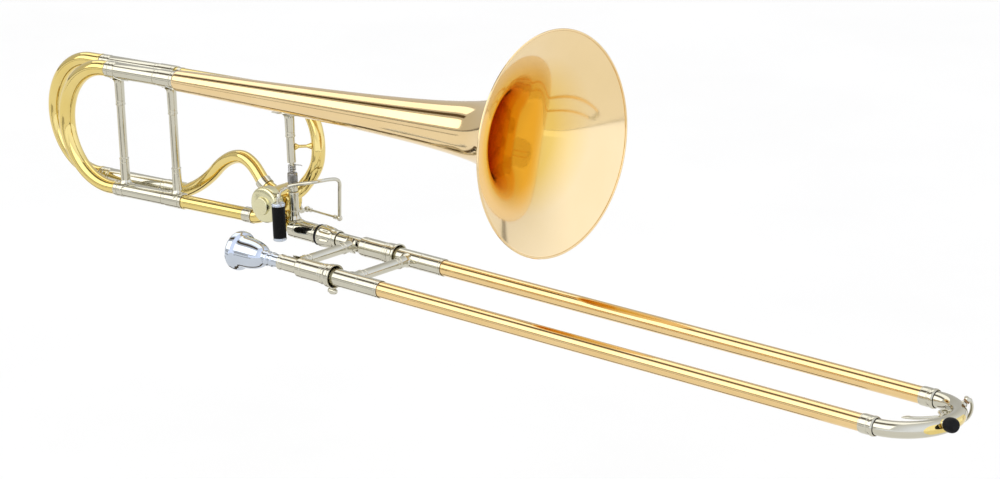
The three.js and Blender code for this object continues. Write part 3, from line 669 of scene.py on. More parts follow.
def mouthpiece():
    start, end, outer = run_of("mouthpiece")
    inside = steps(start, 0, (1, 14.2), (3.2, 12.9), (7, 12.7), (13, 12.2), (20, 11.2), (27, 8.6), (32, 5.6),
                   (36, 3.7))
    neck = steps(start, 0, (51.6, 6.4), (51.2, 6.9), (50.4, 7.2), (48.8, 7.2), (48, 6.6), (47.4, 6.2),
                 (45, 6.3), (44.4, 7.1), (43.4, 7.5), (41.6, 7.5), (40.6, 7.0))
    bowl = steps(start, 0, (38.6, 7.3), (37.8, 8.5), (36.4, 9.8), (34, 11.3), (31, 12.6), (27, 13.8),
                 (22, 14.8), (16, 15.4), (12, 15.7), (10, 16.1), (8.8, 17.2), (8, 18.5), (7, 19.2),
                 (5.6, outer - 0.05))
    rim = steps(start, outer, (2.7, 0), (1.2, -0.6), (0.2, -2.2), (0, -3.4))
    turned("mouthpiece", [
        *smooth(inside, 1.2), [start + 39, 3.2], [end, 4.8], [end, 5.7], *neck, *smooth(bowl, 0.9, 1), *rim,
    ], 88, 0.25, "silver_plate")


def slide_lock():
    """The turning ring at the end of the mouthpiece side's barrel, with its knob and thumb tab."""
    low, high = span("slide_lock_ring")
    start, y, end, outer = low[0], -HALF, high[0], high[2]
    ring = lathe([
        [start, 9.0], [end - 2, 9.8], *steps(end, outer, (0, -1.2), (0, 0), (-2, 0), (-2.8, -0.7)),
        *steps(start, outer, (3, -0.5), (1, -0.9), (0, -1.3)),
    ], at=(0, y, 0), soft=0.4)
    knob = lathe([[0, 0], [0, 2.1], [3.6, 2.1], [4.2, 2.8], [5.6, 3.0], [6.8, 2.7], [7.4, 1.6], [7.5, 0]],
                 32, (0, 0, -1), (end - 4.5, y, low[2] + 7.3))
    tab = lathe([[-5.5, 0], [-5.5, 1.2], [-4.6, 2.2], [-2, 2.9], [2.5, 3.0], [4.6, 2.4], [5.6, 1.2],
                [5.6, 0]], 32, at=(end - 4.2, y, low[2] + 3.0))
    fine("slide_lock_ring", joined(ring, knob, tab))


def hand_slide():
    for name in SLIDE_SIDES:
        start, end, outer = run_of("outer_slide_tube_" + name)
        turned("outer_slide_tube_" + name, pipe(start, end, outer - 0.35, outer), 72, 0.1, "rose_brass")
        start, end, outer = run_of("outer_slide_sleeve_" + name)
        turned("outer_slide_sleeve_" + name, [
            [start, outer - 0.5], [end, outer - 0.5],
            *steps(end, outer, (0, 0), (-2.2, 0), (-2.5, -0.35), (-3.1, -0.35), (-3.4, 0)),
            *steps(start, outer, (37.4, 0), (37.2, -0.35), (36.6, -0.35), (36.4, 0), (0, 0)),
        ], 72, 0.2)
        start, end, outer = run_of("bow_ferrule_" + name)
        r = outer - 0.65
        turned("bow_ferrule_" + name, [
            [start, outer - 1.2], [end + 0.7, outer - 1.2],
            *steps(end, r, (0.7, -0.45), (0, -0.1), (-0.9, 0.3), (-1.8, 0.4), (-2.8, 0.3), (-3.8, 0),
                   (-4.8, 0), (-5.2, -0.25), (-6, -0.25), (-6.4, 0)),
            *steps(start, r, (1.4, 0), (1, -0.2), (0, -0.2)),
        ], 72, 0.2)
    fine("outer_slide_brace", brace("outer_slide_brace", 8.6, 12))


# ---- the bow at the slide's front end ----
def bow_path(leg, spread=0.0, z=0.0):
    """The bow's centre line, or a line outside it, with a short straight leg at each end."""
    half = HALF + spread
    return u_bend((0, -half, z), (0, half, z), leg, leg, 1, (BOW_DEPTH + spread) / half)


def slide_bow():
    tube = sweep(evenly(bow_path(2.2), 1.4), BOW_R, BOW_R - 0.6, 48)
    up_and_out = Matrix.Translation((KEY_REACH, 0, 0)) @ Matrix.Rotation(-pi / 4, 4, "Y")
    nipple = lathe([[5, 1.5], [9.2, 1.5], [9.2, 2.2], [8.4, 2.8], [7.8, 3.0], [7.2, 3.4], [5, 3.6]], 32)
    nipple = moved(nipple, Matrix.Rotation(KEY_ANGLE, 4, "Z") @ up_and_out)
    fine("slide_bow", joined(tube, nipple), "nickel_silver", BOW)
    pad = moved(lathe([[9.5, 0], [11.4, 0], [11.4, 2.9], [9.5, 2.9]], 32), up_and_out)
    fine("water_key_pad", pad, "cork", KEY)
    return up_and_out


def water_key(up_and_out):
    x, z = KEY_PIVOT_X, KEY_PIVOT_Z
    foot = outside(block((34.0, -6, -3), (38.6, 6, 2.2), 0.8), BOW_R + 0.05, (KEY_REACH, 0, 0), ALONG_Y)
    lugs = []
    for side in (-5.2, 5.2):
        low, high = side - 0.7, side + 0.7
        ear = lathe([[low, 0], [high, 0], [high, 2.3], [low, 2.3]], 28, ALONG_Y, (x, 0, z))
        web = block((x, low, z - 1.4), (36, high, z + 2.6), 0.3)
        lugs += [ear, web]
    fine("water_key_saddle", joined(foot, *lugs), "nickel_silver", KEY)
    pin = lathe([[-7.2, 0], [7.2, 0], [7.2, 1.3], [6.9, 1.8], [6.4, 1.9], [6.1, 0.8], [-6.1, 0.8],
                 [-6.4, 1.1], [-7.2, 1.0]], 24, ALONG_Y, (x, 0, z))
    fine("water_key_pivot_pin", pin, "spring_steel", KEY)
    arm = spline([(-1, 0, -4), (8, 0, -5.2), (20, 0, -5.6), (28, 0, -5.8), (34.5, 0, -9.2), (42, 0, -11.6),
                  (49, 0, -10.2), (54.2, 0, -5), (56, 0, 2), (55, 0, 8), (53.8, 0, 9.6)], 0.8)
    rod = sweep(arm, round_ended(1.5, 0.04, 0.02), sides=20, across=1.15, deep=0.95)
    strap = sweep(portion(arm, 0.5, 1), round_ended(2.8, 0.45, 0.1), sides=28, deep=0.5)
    spur_path = spline([(-5.1, 0, -3.9), (-1.5, 0, -4.0), (2.5, 0, -4.2), (7.1, 0, -4.9)], 0.5)
    spur = sweep(spur_path, lambda t: 0.35 + 2.7 * sin(pi * min(1, t * 1.02)) ** 0.7, sides=28,
                 deep=0.38)
    barrel = lathe([[-4.2, 1.1], [4.2, 1.1], [4.2, 2.2], [3.4, 2.4], [-3.4, 2.4], [-4.2, 2.2]], 28, ALONG_Y,
                   (x, 0, z))
    cup = moved(lathe([[11.8, 0], [13.6, 0], [14.3, 1.0], [14.2, 2.2], [13.2, 3.7], [12.6, 3.9], [11.2, 3.9],
                       [11.2, 3.4], [11.8, 3.4]], 32), up_and_out)
    fine("water_key_lever", joined(rod, strap, spur, barrel, cup), "nickel_silver", KEY)
    turns = 12 * pi
    coil = np.array([(x + 1.75 * cos(a), -3.6 + 7.2 * a / turns, z + 1.75 * sin(a))
                     for a in np.linspace(0, turns, 150)])
    detail("water_key_spring", sweep(coil, 0.33, sides=8), "spring_steel", "hand_slide", KEY)


def bow_guard():
    path = evenly(bow_path(0, 4.9, 0.4), 1.0)
    strip = outside_bow(sweep(portion(path, 0.28, 0.62), round_ended(2.7, 0.2, 0.12), sides=36))
    boss = moved(lathe([[BOW_DEPTH + 5, 0], [BOW_DEPTH + 9, 0], [BOW_DEPTH + 9, 2.6], [BOW_DEPTH + 8.4, 3],
                        [BOW_DEPTH + 5, 3.4]], 32), BOW.inverted() @ BUMPER)
    fine("bow_guard", joined(strip, boss), "yellow_brass", BOW)
    outline = [[9.3, 0], [9.3, 4.6], [10.4, 5.6], [12.2, 6.3], [15, 6.6], [17.6, 6.5], [19.6, 5.9],
               [20.8, 4.9], [21.4, 3.9], [21.4, 0]]
    bumper = lathe([[along + BOW_DEPTH, r] for along, r in outline], 48, soft=0.6)
    fine("rubber_bumper", bumper, "black_rubber", BUMPER)
    washer = lathe(pipe(BOW_DEPTH + 8.6, BOW_DEPTH + 9.6, 3.1, 4.9), 40)
    detail("bumper_washer", washer, "nickel_silver", "hand_slide", BUMPER)


def outside_bow(shape):
    """Keeps a shape's points out of the bow's tube."""
    points, faces = shape
    path = evenly(bow_path(0), 0.5)
    clear = BOW_R + 0.02
    fixed = []
    for point in points:
        away = path - point
        nearest = int(np.argmin(np.einsum("ij,ij->i", away, away)))
        offset = point - path[nearest]
        distance = np.linalg.norm(offset)
        fixed.append(path[nearest] + offset / distance * clear if 1e-6 < distance < clear else point)
    return np.array(fixed), faces


# ---- the bell and the tuning slides ----
def flare(back):
    """The bell's outer radius a distance back from its mouth: a slim horn that opens into a deep bowl."""
    horn = 5540 / (back + 26.85) ** 1.25
    bowl = 90 / (1 + back / 107.6) ** 3
    share = min(max((back - 60) / 50, 0), 1)
    return 17.1 - 0.016 * back + bowl + (horn - bowl) * share * share * (3 - 2 * share)


def bell():
    length = BELL_RIM - BELL_TAIL
    back = [4 * 1.045 ** i - 3.7 for i in range(112)]
    stations = [b for b in back if b < length - 16] + [length - 14]
    outer = [[BELL_RIM - b, flare(b)] for b in stations]
    inner = [[BELL_RIM - b, flare(b) - BELL_WALL] for b in stations]
    bead = [[BELL_RIM + 0.1 + cos(a), BEAD_R + 1.1 * sin(a)]
            for a in np.linspace(radians(215), radians(-215), 18)]
    shoulder = steps(BELL_TAIL, 0, (6, 9.6), (0, 8), (0, 9.3), (0.5, 10.0), (1.4, 10.6), (2.6, 10.95),
                     (4, 11.1), (5, 11.05))
    body = lathe([*inner, *shoulder, *reversed(outer)], BELL_SIDES, at=(0, 0, BELL_HEIGHT), soft=0)
    rim = lathe(bead, BELL_SIDES, at=(0, 0, BELL_HEIGHT), soft=0)
    made = fine("bell", joined(body, rim), "bell_brass", BELL)
    made.data.materials.append(bell_inside())
    inner_faces = (len(inner) - 1) * BELL_SIDES
    for face in made.data.polygons[:inner_faces]:
        face.material_index = 1


def tuning_slide(name, bend, taper):
    """A tuning slide: a sleeve and a leg on two levels, and the crook that joins them."""
    axes = []
    ends = []
    for level, fraction in (("upper", 0), ("lower", 1)):
        sleeve, leg_node = f"{name}_tuning_sleeve_{level}", f"{name}_tuning_leg_{level}"
        start, end, outer = run_of(sleeve, BELL)
        leg_start, leg_end, leg = run_of(leg_node, BELL)
        r = outer - 0.5
        turned(sleeve, [
            [start, leg + 0.3], [end, leg + 0.3], [end, outer], *groove(end - 4, outer), [end - 24, outer],
            [end - 24.5, r], *groove(end - 29, r), [start + 15.4, r], *groove(start + 15, r),
            [start + 12, r], [start + 11.5, r + 0.3], *groove(start + 6, r + 0.3), [start + 1.2, r + 0.3],
            [start, r],
        ], 64, 0.2, section=BELL)
        turned(leg_node, pipe(leg_start, leg_end, leg - 0.5, leg), 56, 0.15, section=BELL)
        r = taper(fraction)
        collar = steps(start, r, (-0.3, -0.6), (-0.3, 0.45), (-1.6, 0.55), (-2.4, 0.1), (-2.4, -0.6))
        ends.append(lathe(collar, 56, at=axis_of(sleeve, BELL), soft=0.2))
        axes.append((start - 0.3, *axis_of(sleeve, BELL)[1:]))
    (upper_x, y, upper_z), (lower_x, _, lower_z) = axes
    path = u_bend((bend, y, upper_z), (bend, y, lower_z), upper_x - bend, lower_x - bend, -1)
    crook = sweep(evenly(path, 2.2), taper, taper(0) - 0.7, 56)
    on_bell(f"{name}_tuning_crook", joined(crook, *ends), "yellow_brass")


def sleeve_stays():
    for level, z in (("upper", BELL_HEIGHT + 0.5), ("lower", 1.6)):
        low, high = span("sleeve_stay_" + level, BELL)
        stay = lathe([*steps(low[1], 0, (-0.6, 0), (-0.6, 3.8), (0.6, 3.0), (1.6, 2.2)),
                      *steps(high[1], 0, (-1.6, 2.2), (-0.6, 3.0), (0.4, 3.6), (0.4, 0))], 32, ALONG_Y,
                     (STAY_X, 0, z))
        on_bell("sleeve_stay_" + level, stay)


# ---- neckpipe, F tubing and the rotary valve ----
F_R = 7.0
F_START_X = -96.7           # where both F tubes leave the tuning slide's sleeves
HUMP = [
    (F_START_X, LEG_GAP, 4.3), (-93.5, LEG_GAP, 4.4), (-83.5, 22, 8.4), (-72, 21, 14), (-61, 19.5, 20.4),
    (-47, 17.5, 30), (-33, 16, 41.5), (-19, 14.5, 50), (-5, 13, 54.8), (8, 11, 55.6), (21.5, 9, 50.5),
    (31.5, 7, 43), (41, 5, 34.6), (48, 5, 30.5), (55, 6, 27),
]
HUMP_JOINT = 0.922
FRONT = [
    (57.3, 22, BELL_HEIGHT), (67, 22, BELL_HEIGHT), (82, 21.8, 123.5), (95, 21, 111), (103, 20, 97),
    (106.8, 18.5, 80), (105, 17.6, 62.2), (96.8, 17.8, 48.8), (87.4, 18, 38.6), (82.2, 15.6, 32),
    (78.4, 10, 28), (71, 6.6, 25),
]
FRONT_JOINT = 0.87
HUMP_LINE, FRONT_LINE = spline(HUMP, 1.4, 8), spline(FRONT, 1.4, 8)
NECK_LINE = spline([(23.3, 0, 0), (32, 0, 0), (41, 1.6, 3.2), (49.5, 4.4, 9), (56.5, 6, 15)], 1.2, 4)
THROAT_LINE = spline([(70, 6, 14.5), (71.6, 5, 7.5), (74.4, 2.6, 1), (79, 0.6, -3.3), (85, 0, -4.02),
                      (92, 0, -4.33)], 1.2, 4)


def tubing():
    start, end, r = run_of("neckpipe", BELL)
    turned("neckpipe", [
        [start, r - 0.7], [end, r - 0.7], [end, r], *steps(start, r, (3, 0), (2.4, 0.4), (0.6, 0.4), (0, 0)),
    ], 64, 0.2, "yellow_brass", BELL)
    start, end, outer = run_of("neckpipe_ferrule", BELL)
    r = outer - 0.25
    turned("neckpipe_ferrule", [
        [start, r - 0.6], [end, r - 0.6], [end, r], [end - 1, outer], [end - 2, r],
        *steps(start, r, (5, 0), (4.8, -0.3), (4.2, -0.3), (4, 0), (0, 0)),
    ], 64, 0.2, section=BELL)
    lower = sweep(portion(HUMP_LINE, 0, HUMP_JOINT), F_R, F_R - 0.7, 48)
    on_bell("f_lower_bend", lower, "yellow_brass")
    ring = portion(HUMP_LINE, HUMP_JOINT - 0.032, HUMP_JOINT + 0.018)
    on_bell("f_lower_bend_ferrule", sweep(ring, 8.2, 7.6, 48))
    straight = [[x, LEG_GAP - 0.5 * max(0, (x - F_START_X) / 154) ** 2, BELL_HEIGHT]
                for x in np.arange(F_START_X, 56, 4)]
    upper = sweep(np.vstack([straight, portion(FRONT_LINE, 0, FRONT_JOINT)]), F_R, F_R - 0.7, 48)
    on_bell("f_front_bend", upper, "yellow_brass")
    for place, x in (("rear", -93), ("front", 38)):
        band = lathe(pipe(x, x + 5, F_R - 0.1, F_R + 0.5), at=(0, LEG_GAP - 0.2, BELL_HEIGHT))
        detail(f"f_upper_band_{place}", band, "nickel_silver", "bell_section")


def valve():
    at = (VALVE_X, 0, VALVE_Z)
    knuckles = [
        sweep(NECK_LINE, 7.2, 6.5, 40), sweep(THROAT_LINE, 6.6, 5.9, 40),
        sweep(portion(HUMP_LINE, HUMP_JOINT + 0.002, 1), F_R, F_R - 0.7, 40),
        sweep(portion(FRONT_LINE, FRONT_JOINT + 0.002, 1), F_R, F_R - 0.7, 40),
    ]
    knuckles = [outside(k, 13.2, at, ALONG_Y) for k in knuckles]
    drum = lathe([[-12, 12.9], [19, 12.9], [19, 15.5], [17, 15.5], [16.6, 15.1], [15.8, 15.1], [15.4, 15.5],
                  [-8.6, 15.5], [-12, 15.5]], 72, ALONG_Y, at)
    collars = [ring_at(NECK_LINE, 0.78, 8.0), ring_at(THROAT_LINE, 0.3, 7.4)]
    on_bell("valve_casing", joined(drum, *knuckles, *collars), "yellow_brass")

    cap = lathe([
        [-12.3, 0], [-12.3, 15.8], [-8.6, 15.8], [-8.6, 17.6], [-9.2, 18.3], [-10.6, 18.5], [-15.4, 18.5],
        [-18.2, 18.4], [-19.6, 18.0], [-20.6, 16.8], [-21.2, 14.8], [-21.6, 12.4], [-21.8, 10.0],
        [-21.9, 9.3], [-24.2, 9.2], [-24.9, 8.9], [-25.2, 8.2], [-25.2, 1.5], [-25.2, 0],
    ], 96, ALONG_Y, at, 0.35)
    on_bell("valve_front_cap", cap, "cap_silver")
    plate = lathe([[19.3, 4.4], [21.6, 4.4], [21.6, 10.6], [21.2, 11.4], [20.8, 14.2], [20.4, 14.5],
                  [19.3, 14.5]], 64, ALONG_Y, at)
    on_bell("valve_rear_plate", plate)
    core = lathe([[-11.7, 0], [-11.7, 12.6], [18.7, 12.6], [18.7, 4], [28.0, 4], [28.6, 3.4], [28.6, 0]], 56,
                 ALONG_Y, at)
    on_bell("valve_rotor", core, "yellow_brass")


def rotor_details():
    screw = lathe([[28.7, 0], [28.7, 3.1], [29.4, 3.1], [29.9, 2.6], [29.9, 0]], 32, ALONG_Y,
                  (VALVE_X, 0, VALVE_Z))
    detail("rotor_screw", screw, "spring_steel", "valve_rotor")
    for index, angle in enumerate((radians(150), radians(235))):
        place = (VALVE_X + 11.8 * cos(angle), 0, VALVE_Z + 11.8 * sin(angle))
        stop = lathe([[21.8, 0], [25, 0], [25, 1.7], [21.8, 1.9]], 24, ALONG_Y, place)
        detail(f"rotor_bumper_{index + 1}", stop, "black_rubber", "bell_section")


def stop_arm():
    """The arm on the rotor's stem. Returns where the link meets the stud at its end."""
    at = np.array([VALVE_X, 0, VALVE_Z])
    way = np.array([sin(STOP_ARM_REST), 0, -cos(STOP_ARM_REST)])
    level = at + np.array([0, 26, 0])
    hub = lathe([[22, 4.3], [28.2, 4.3], [28.2, 5.9], [27.6, 6.4], [22.6, 6.4], [22, 5.9]], 48, ALONG_Y,
                tuple(at))
    line = np.array([level + way * 5, level + way * (STOP_ARM_R + 1.6)])
    arm = sweep(evenly(line, 0.8), round_ended(2.3, 0, 0.16), sides=28, deep=0.68, up=(0, 1, 0))
    stud = lathe([[24.4, 0], [28.9, 0], [28.9, 1.3], [27.6, 1.3], [27.4, 2.6], [24.4, 2.6]], 28, ALONG_Y,
                 tuple(at + way * STOP_ARM_R), 0.2)
    on_bell("valve_stop_arm", joined(hub, arm, stud))
    return at + way * STOP_ARM_R + np.array([0, LINK_Y, 0])


def ring_at(path, where, radius):
    """A soldered ring round a bent tube."""
    middle = int(where * (len(path) - 1))
    way = path[middle + 1] - path[middle - 1]
    way = way / np.linalg.norm(way)
    ring = path[middle] + np.outer(np.linspace(-2, 2, 9), way)
    return sweep(ring, lambda t: radius - 0.35 * abs(2 * t - 1) ** 4, radius - 1.2, 44)


# ---- posts ----
def post(x, low_z, high_z, outline, low_tube, high_tube):
    """An upright post, with its ends shaped to the tubes it joins and a diamond plate on each."""
    rod = lathe(outline, 40, ALONG_Z, (x, 0, 0), 0.22)
    rod = outside(outside(rod, low_tube + 0.05, (x, 0, low_z)), high_tube + 0.05, (x, 0, high_z))
    foot = saddle(low_tube + 0.05, (x, 0, low_z), (0, 0, 1), 14, 8.5)
    head = saddle(high_tube + 0.05, (x, 0, high_z), (0, 0, -1), 14, 8.5)
    return joined(rod, foot, head)


def socket(end, ring, r, d):
    """A post's thick end, in direction d from the tube to its ring, with two fine grooves at the ring."""
    return [
        [end, r + 2.6], [end + 1.4 * d, r + 1.5], [end + 3.4 * d, r + 0.7], [ring - 5.6 * d, r + 0.5],
        [ring - 5.4 * d, r + 0.2], [ring - 4.8 * d, r + 0.2], [ring - 4.6 * d, r + 0.5],
        [ring - 1.8 * d, r + 0.5], [ring - 1.6 * d, r + 0.75], [ring - 0.6 * d, r + 0.75], [ring, r],
    ]


def posts():
    _, _, upper = run_of("main_tuning_sleeve_upper", BELL)
    _, _, lower = run_of("main_tuning_sleeve_lower", BELL)
    for name, x, thinner in (("rear_post", -162, 0.2), ("middle_post", -83, 0)):
        low_tube, high_tube = lower - thinner, upper - thinner
        top = BELL_HEIGHT - high_tube
        outline = [[low_tube - 1.5, 0], *socket(low_tube, 35.5, POST_R, 1),
                   *reversed(socket(top, 91.5, POST_R, -1)), [top + 1.5, 0]]
        on_bell(name, post(x, 0, BELL_HEIGHT, outline, low_tube, high_tube))


def bell_post():
    """The thick post from the receiver to the bell, which carries the thumb lever on its thin middle."""
    x = BELL_POST_X
    receiver_z = -x * tan(BELL_PITCH)
    receiver_axis = (cos(BELL_PITCH), 0, -sin(BELL_PITCH))
    receiver_up = (sin(BELL_PITCH), 0, cos(BELL_PITCH))
    upper = flare(BELL_RIM - x)
    top = BELL_HEIGHT - upper
    outline = [
        *steps(receiver_z, 0, (8, 0), (9.8, 7), (11.4, 5.9), (13.4, 5.1)), [14, 4.9], [14.3, 4.5], [15, 4.5],
        [15.3, 4.9], [30, 4.9], [30.3, 5.3], [33.2, 5.3], [34, 4.4], [34, 2.4], [64, 2.4], [64, 4.4],
        *reversed(socket(top, 90, POST_R, -1)), [top + 1.5, 0],
    ]
    lean = (flare(BELL_RIM - x + 20) - flare(BELL_RIM - x - 20)) / 40
    rod = lathe(outline, 40, ALONG_Z, (x, 0, 0), 0.22)
    rod = outside(rod, RECEIVER_R, (x, 0, receiver_z), receiver_axis)
    rod = outside(rod, upper + 0.05, (x, 0, BELL_HEIGHT), (1, 0, -lean))
    foot = saddle(RECEIVER_R, (x, 0, receiver_z), receiver_up, 13, 9, receiver_axis)
    tip = np.array([1, 0, -lean]) / hypot(1, lean)
    head = saddle(upper + 0.1, (x, 0, BELL_HEIGHT), (-lean, 0, -1), 25, 10, tuple(tip))
    on_bell("bell_post", joined(rod, foot, head))


def bend_spacer():
    """The short stud that holds the F tubing's front bend off the bell post."""
    to_bend = np.array([20.2, 18.5, 0])
    reach = np.linalg.norm(to_bend) - 7.5
    spacer = lathe([
        [4.2, 0], [4.2, 3.8], [5.2, 3.3], [6.4, 2.6], [7.4, 1.9], [8.4, 1.6],
        *steps(reach, 0, (-4, 1.6), (-2.6, 2.3), (-1.2, 2.7), (0, 3.4), (1, 3.8), (1, 0)),
    ], 32, tuple(to_bend / np.linalg.norm(to_bend)), (BELL_POST_X, 0, 80))
    on_bell("f_bend_spacer", spacer, "yellow_brass")


# ---- thumb lever, its spring and its link ----
def spring_collar():
    """The knurled collar on the bell post, and the coiled spring whose hook presses the lever back."""
    x, teeth = BELL_POST_X, 40
    points, faces = lathe([
        [41.5, 2.7], [53.6, 2.7], [53.6, 4.4], [53, 5.0], [52.2, 5.2], [51.6, 5.2], [51.4, 4.8], [50.8, 4.8],
        [50.6, 5.2], [44.5, 5.2], [44.3, 4.8], [43.7, 4.8], [43.5, 5.2], [42.4, 5.2], [41.5, 4.6],
    ], teeth * 2, ALONG_Z, soft=0.12)
    spread = np.hypot(points[:, 0], points[:, 1])
    angle = np.arctan2(points[:, 1], points[:, 0])
    grip = (spread > 5.1) & (points[:, 2] > 44.5) & (points[:, 2] < 50.6)
    tooth = np.where(grip & (np.round(angle / (pi / teeth)).astype(int) % 2 == 0), 0.93, 1.0)
    points[:, :2] *= tooth[:, None]
    # The collar's dark finish is painted shade of its fine knurling.
    on_bell("spring_collar", shifted((points, faces), x), "knurled_silver_painted_shade")
    turns = 8 * pi
    coil = [(3.7 * cos(a), -3.7 * sin(a), 54.6 + 7.2 * a / turns) for a in np.linspace(0, turns, 120)]
    hook = [(5.2, -0.3, 62.0), (8, -0.5, 62.5), (11, -0.6, 62.8), (13.4, -0.3, 62.7), (14.2, 0.1, 62.2)]
    wire = sweep(spline(coil + hook, 0.35), 0.5, sides=10)
    on_bell("lever_spring", shifted(wire, x), "spring_steel")


def thumb_lever():
    """A hub on the bell post, and one bent rod from the touchpiece round the post to the link's ball."""
    x, y, z = LEVER_BALL[0] - BELL_POST_X, LEVER_BALL[1], LEVER_BALL[2]
    hub = lathe([[34.4, 2.7], [41.2, 2.7], [41.2, 4.5], [40.8, 5], [39.6, 5], [39.4, 4.7], [38.8, 4.7],
                 [38.6, 5], [34.9, 5], [34.4, 4.6]], 48, ALONG_Z)
    rod = sweep(spline([
        (2.5, -24.6, 27), (2.5, -24.6, 29.6), (2.7, -23.6, 35.4), (1.3, -20, 38.0), (0.7, -13.5, 39.7),
        (1.6, -8.8, 41.2), (5.5, -6.6, 42.4), (12, -4.8, 43.8), (20, -3.6, 45.7), (30.2, 4.4, 47.3),
        (33, 19.7, 46.6), (32.9, 29.6, 44.2), (32.2, 33.6, 40), (31.4, y, 32), (x, y, z + 1),
    ], 0.8), 1.85, sides=24)
    solder = lathe([[0, 0], [0, 2.6], [1.6, 2.3], [3.2, 2.2], [3.2, 0]], 28, (0.12, -0.95, 0.28),
                   (0.4, -4.3, 38.9))
    ball = lathe([[-3 * cos(a), 3 * sin(a)] for a in np.linspace(0, pi, 17)], 32, ALONG_Y,
                 (x, y, z), 0)
    on_bell("thumb_lever", shifted(joined(hub, solder, rod, ball), BELL_POST_X))


def touchpiece():
    low, high = span("touchpiece_spool", BELL)
    bottom, top, r = low[2], high[2], (high[0] - low[0]) / 2
    at = ((low[0] + high[0]) / 2, (low[1] + high[1]) / 2, 0)
    caps = lathe([
        [bottom, 0], *steps(bottom, r, (0, -1), (0.5, -0.3), (1.2, 0), (1.9, 0), (2.1, -0.3), (2.4, -0.3),
                            (2.6, 0), (3.2, 0)), [bottom + 3.2, 3],
        [top - 3.2, 3], *steps(top, r, (-3.2, 0), (-2.6, 0), (-2.4, -0.3), (-2.1, -0.3), (-1.9, 0),
                               (-1.2, 0), (-0.5, -0.3), (0, -1)), [top, 2.0], [top - 1, 1.95], [top - 1, 0],
    ], 56, ALONG_Z, at, 0.2)
    on_bell("touchpiece_spool", caps, "silver_plate")
    low, high = span("touchpiece_sleeve", BELL)
    bottom, top, r = low[2], high[2], (high[0] - low[0]) / 2
    grip = lathe([[bottom, 3.3], [bottom, r - 0.2], [bottom + 0.8, r], [top - 0.8, r], [top, r - 0.2],
                 [top, 3.3]], 64, ALONG_Z, at)
    on_bell("touchpiece_sleeve", grip, "black_plastic")


def link_rod(pin):
    """The rod from the stop arm's stud to the lever's ball, with a ball socket at the lever's end."""
    away = np.array(LEVER_BALL) - pin
    length = np.linalg.norm(away)
    near_ball = [[3.2 * cos(a), 3.2 * sin(a)] for a in np.linspace(radians(38), pi, 14)]
    rod = lathe([
        *reversed(near_ball), [3.2, 1.6], [4.2, 2.2], [6.2, 2.2], [6.8, 1.25],
        *steps(length, 0, (-8, 1.25), (-7.4, 2.2), (-4.4, 2.2), (-3.8, 1.8), (-3.8, 0)),
    ], 28, tuple(away / length), tuple(pin), 0.15)
    on_bell("link_rod", rod)


# ---- receiver of the bell section and its lock nut ----
def bell_receiver():
    start, end, r = run_of("bell_receiver")
    turned("bell_receiver", [
        [start, 6.9], [-72, 6.9], [-72, 7.1], [end, 7.1],
        *steps(end, r, (0, 0), (-2.4, 0), (-2.7, -0.35), (-3.3, -0.35), (-3.6, 0)),
        *steps(start, r, (9.6, 0), (9.3, -0.35), (8.7, -0.35), (8.4, 0), (0.6, 0), (0, -0.6)),
    ], 72, 0.25)
    start, end, r = run_of("lock_nut_washer")
    turned("lock_nut_washer", [
        [start, 7.9], [end, 7.9], [end, r - 0.2], [end - 0.5, r], [start + 0.5, r], [start, r - 0.2],
    ], finish="black_rubber")
    start, end, r = run_of("slide_tenon")
    turned("slide_tenon", [
        [start, 5.9], [end, 5.9], *steps(end, r, (0, 0), (-3, 0), (-3.3, -0.3), (-4, -0.3), (-4.3, 0)),
        *steps(start, r, (20, 0), (20, -0.8), (0, -1.1)),
    ], 64, 0.25)


def lock_nut():
    """The nut that holds the two sections together, with eight scalloped flutes for the fingers."""
    start, end, r = run_of("bell_lock_nut")
    body = smooth(steps(start, r, (2.6, 0), (9, -0.5), (15.5, -1.3), (18, -2)), 0.7, 0)
    points, faces = lathe([
        [start, 8.2], [end, 8.2], [end, 8.9], [end - 1.2, 9.3], [end - 3.6, 9.3], [end - 4.2, 8.9],
        [end - 5.2, 8.9], *reversed(body), [start + 2, r], [start + 1.2, r], [start, r - 0.5],
    ], 144, soft=0.25)
    angle = np.arctan2(points[:, 2], points[:, 1])
    spread = np.hypot(points[:, 1], points[:, 2])
    along = (points[:, 0] - start - 3.4) / 13.6
    scallop = np.clip(np.sin(np.pi * np.clip(along, 0, 1)), 0, 1) ** 0.6
    flute = np.clip(np.cos(angle * 8), 0, 1) ** 1.4
    points[:, 1:] *= np.where(spread > 8.6, 1 - 0.13 * scallop * flute, 1)[:, None]
    fine("bell_lock_nut", shifted((points, faces), *axis_of("bell_lock_nut")))


inner_slide()
mouthpiece_receiver()
mouthpiece()
slide_lock()
hand_slide()
water_key(slide_bow())
bow_guard()
bell()
tuning_slide("main", MAIN_BEND_X, lambda t: 8.2 - 1.3 * t + 1.2 * sin(pi * t))
tuning_slide("f", F_BEND_X, lambda t: 7.6)
sleeve_stays()
tubing()
valve()
link_pin = stop_arm()
rotor_details()
posts()
bell_post()
bend_spacer()
spring_collar()
thumb_lever()
touchpiece()
link_rod(link_pin)
bell_receiver()
lock_nut()


# ---- studio: lengths in metres ----
FLOOR_DROP = 0.5            # the floor's distance below the instrument
FLOOR_SIZE = 40.0
CARD_START = -5.0           # where the overhead cards begin, far behind the player's end
SOFTBOX_DISTANCE = 2.8
WALL_TOP = 0.95
WALL_FOOT = 0.03
ROOM_LIGHT = 1.06
LEFT_LIGHT = 0.66           # how bright the room's left and right sides are in reflections
RIGHT_LIGHT = 1.3
RIGHT_TINT = (0.95, 1.0, 1.15)
DARK_TINT = (1, 0.72, 0.42)


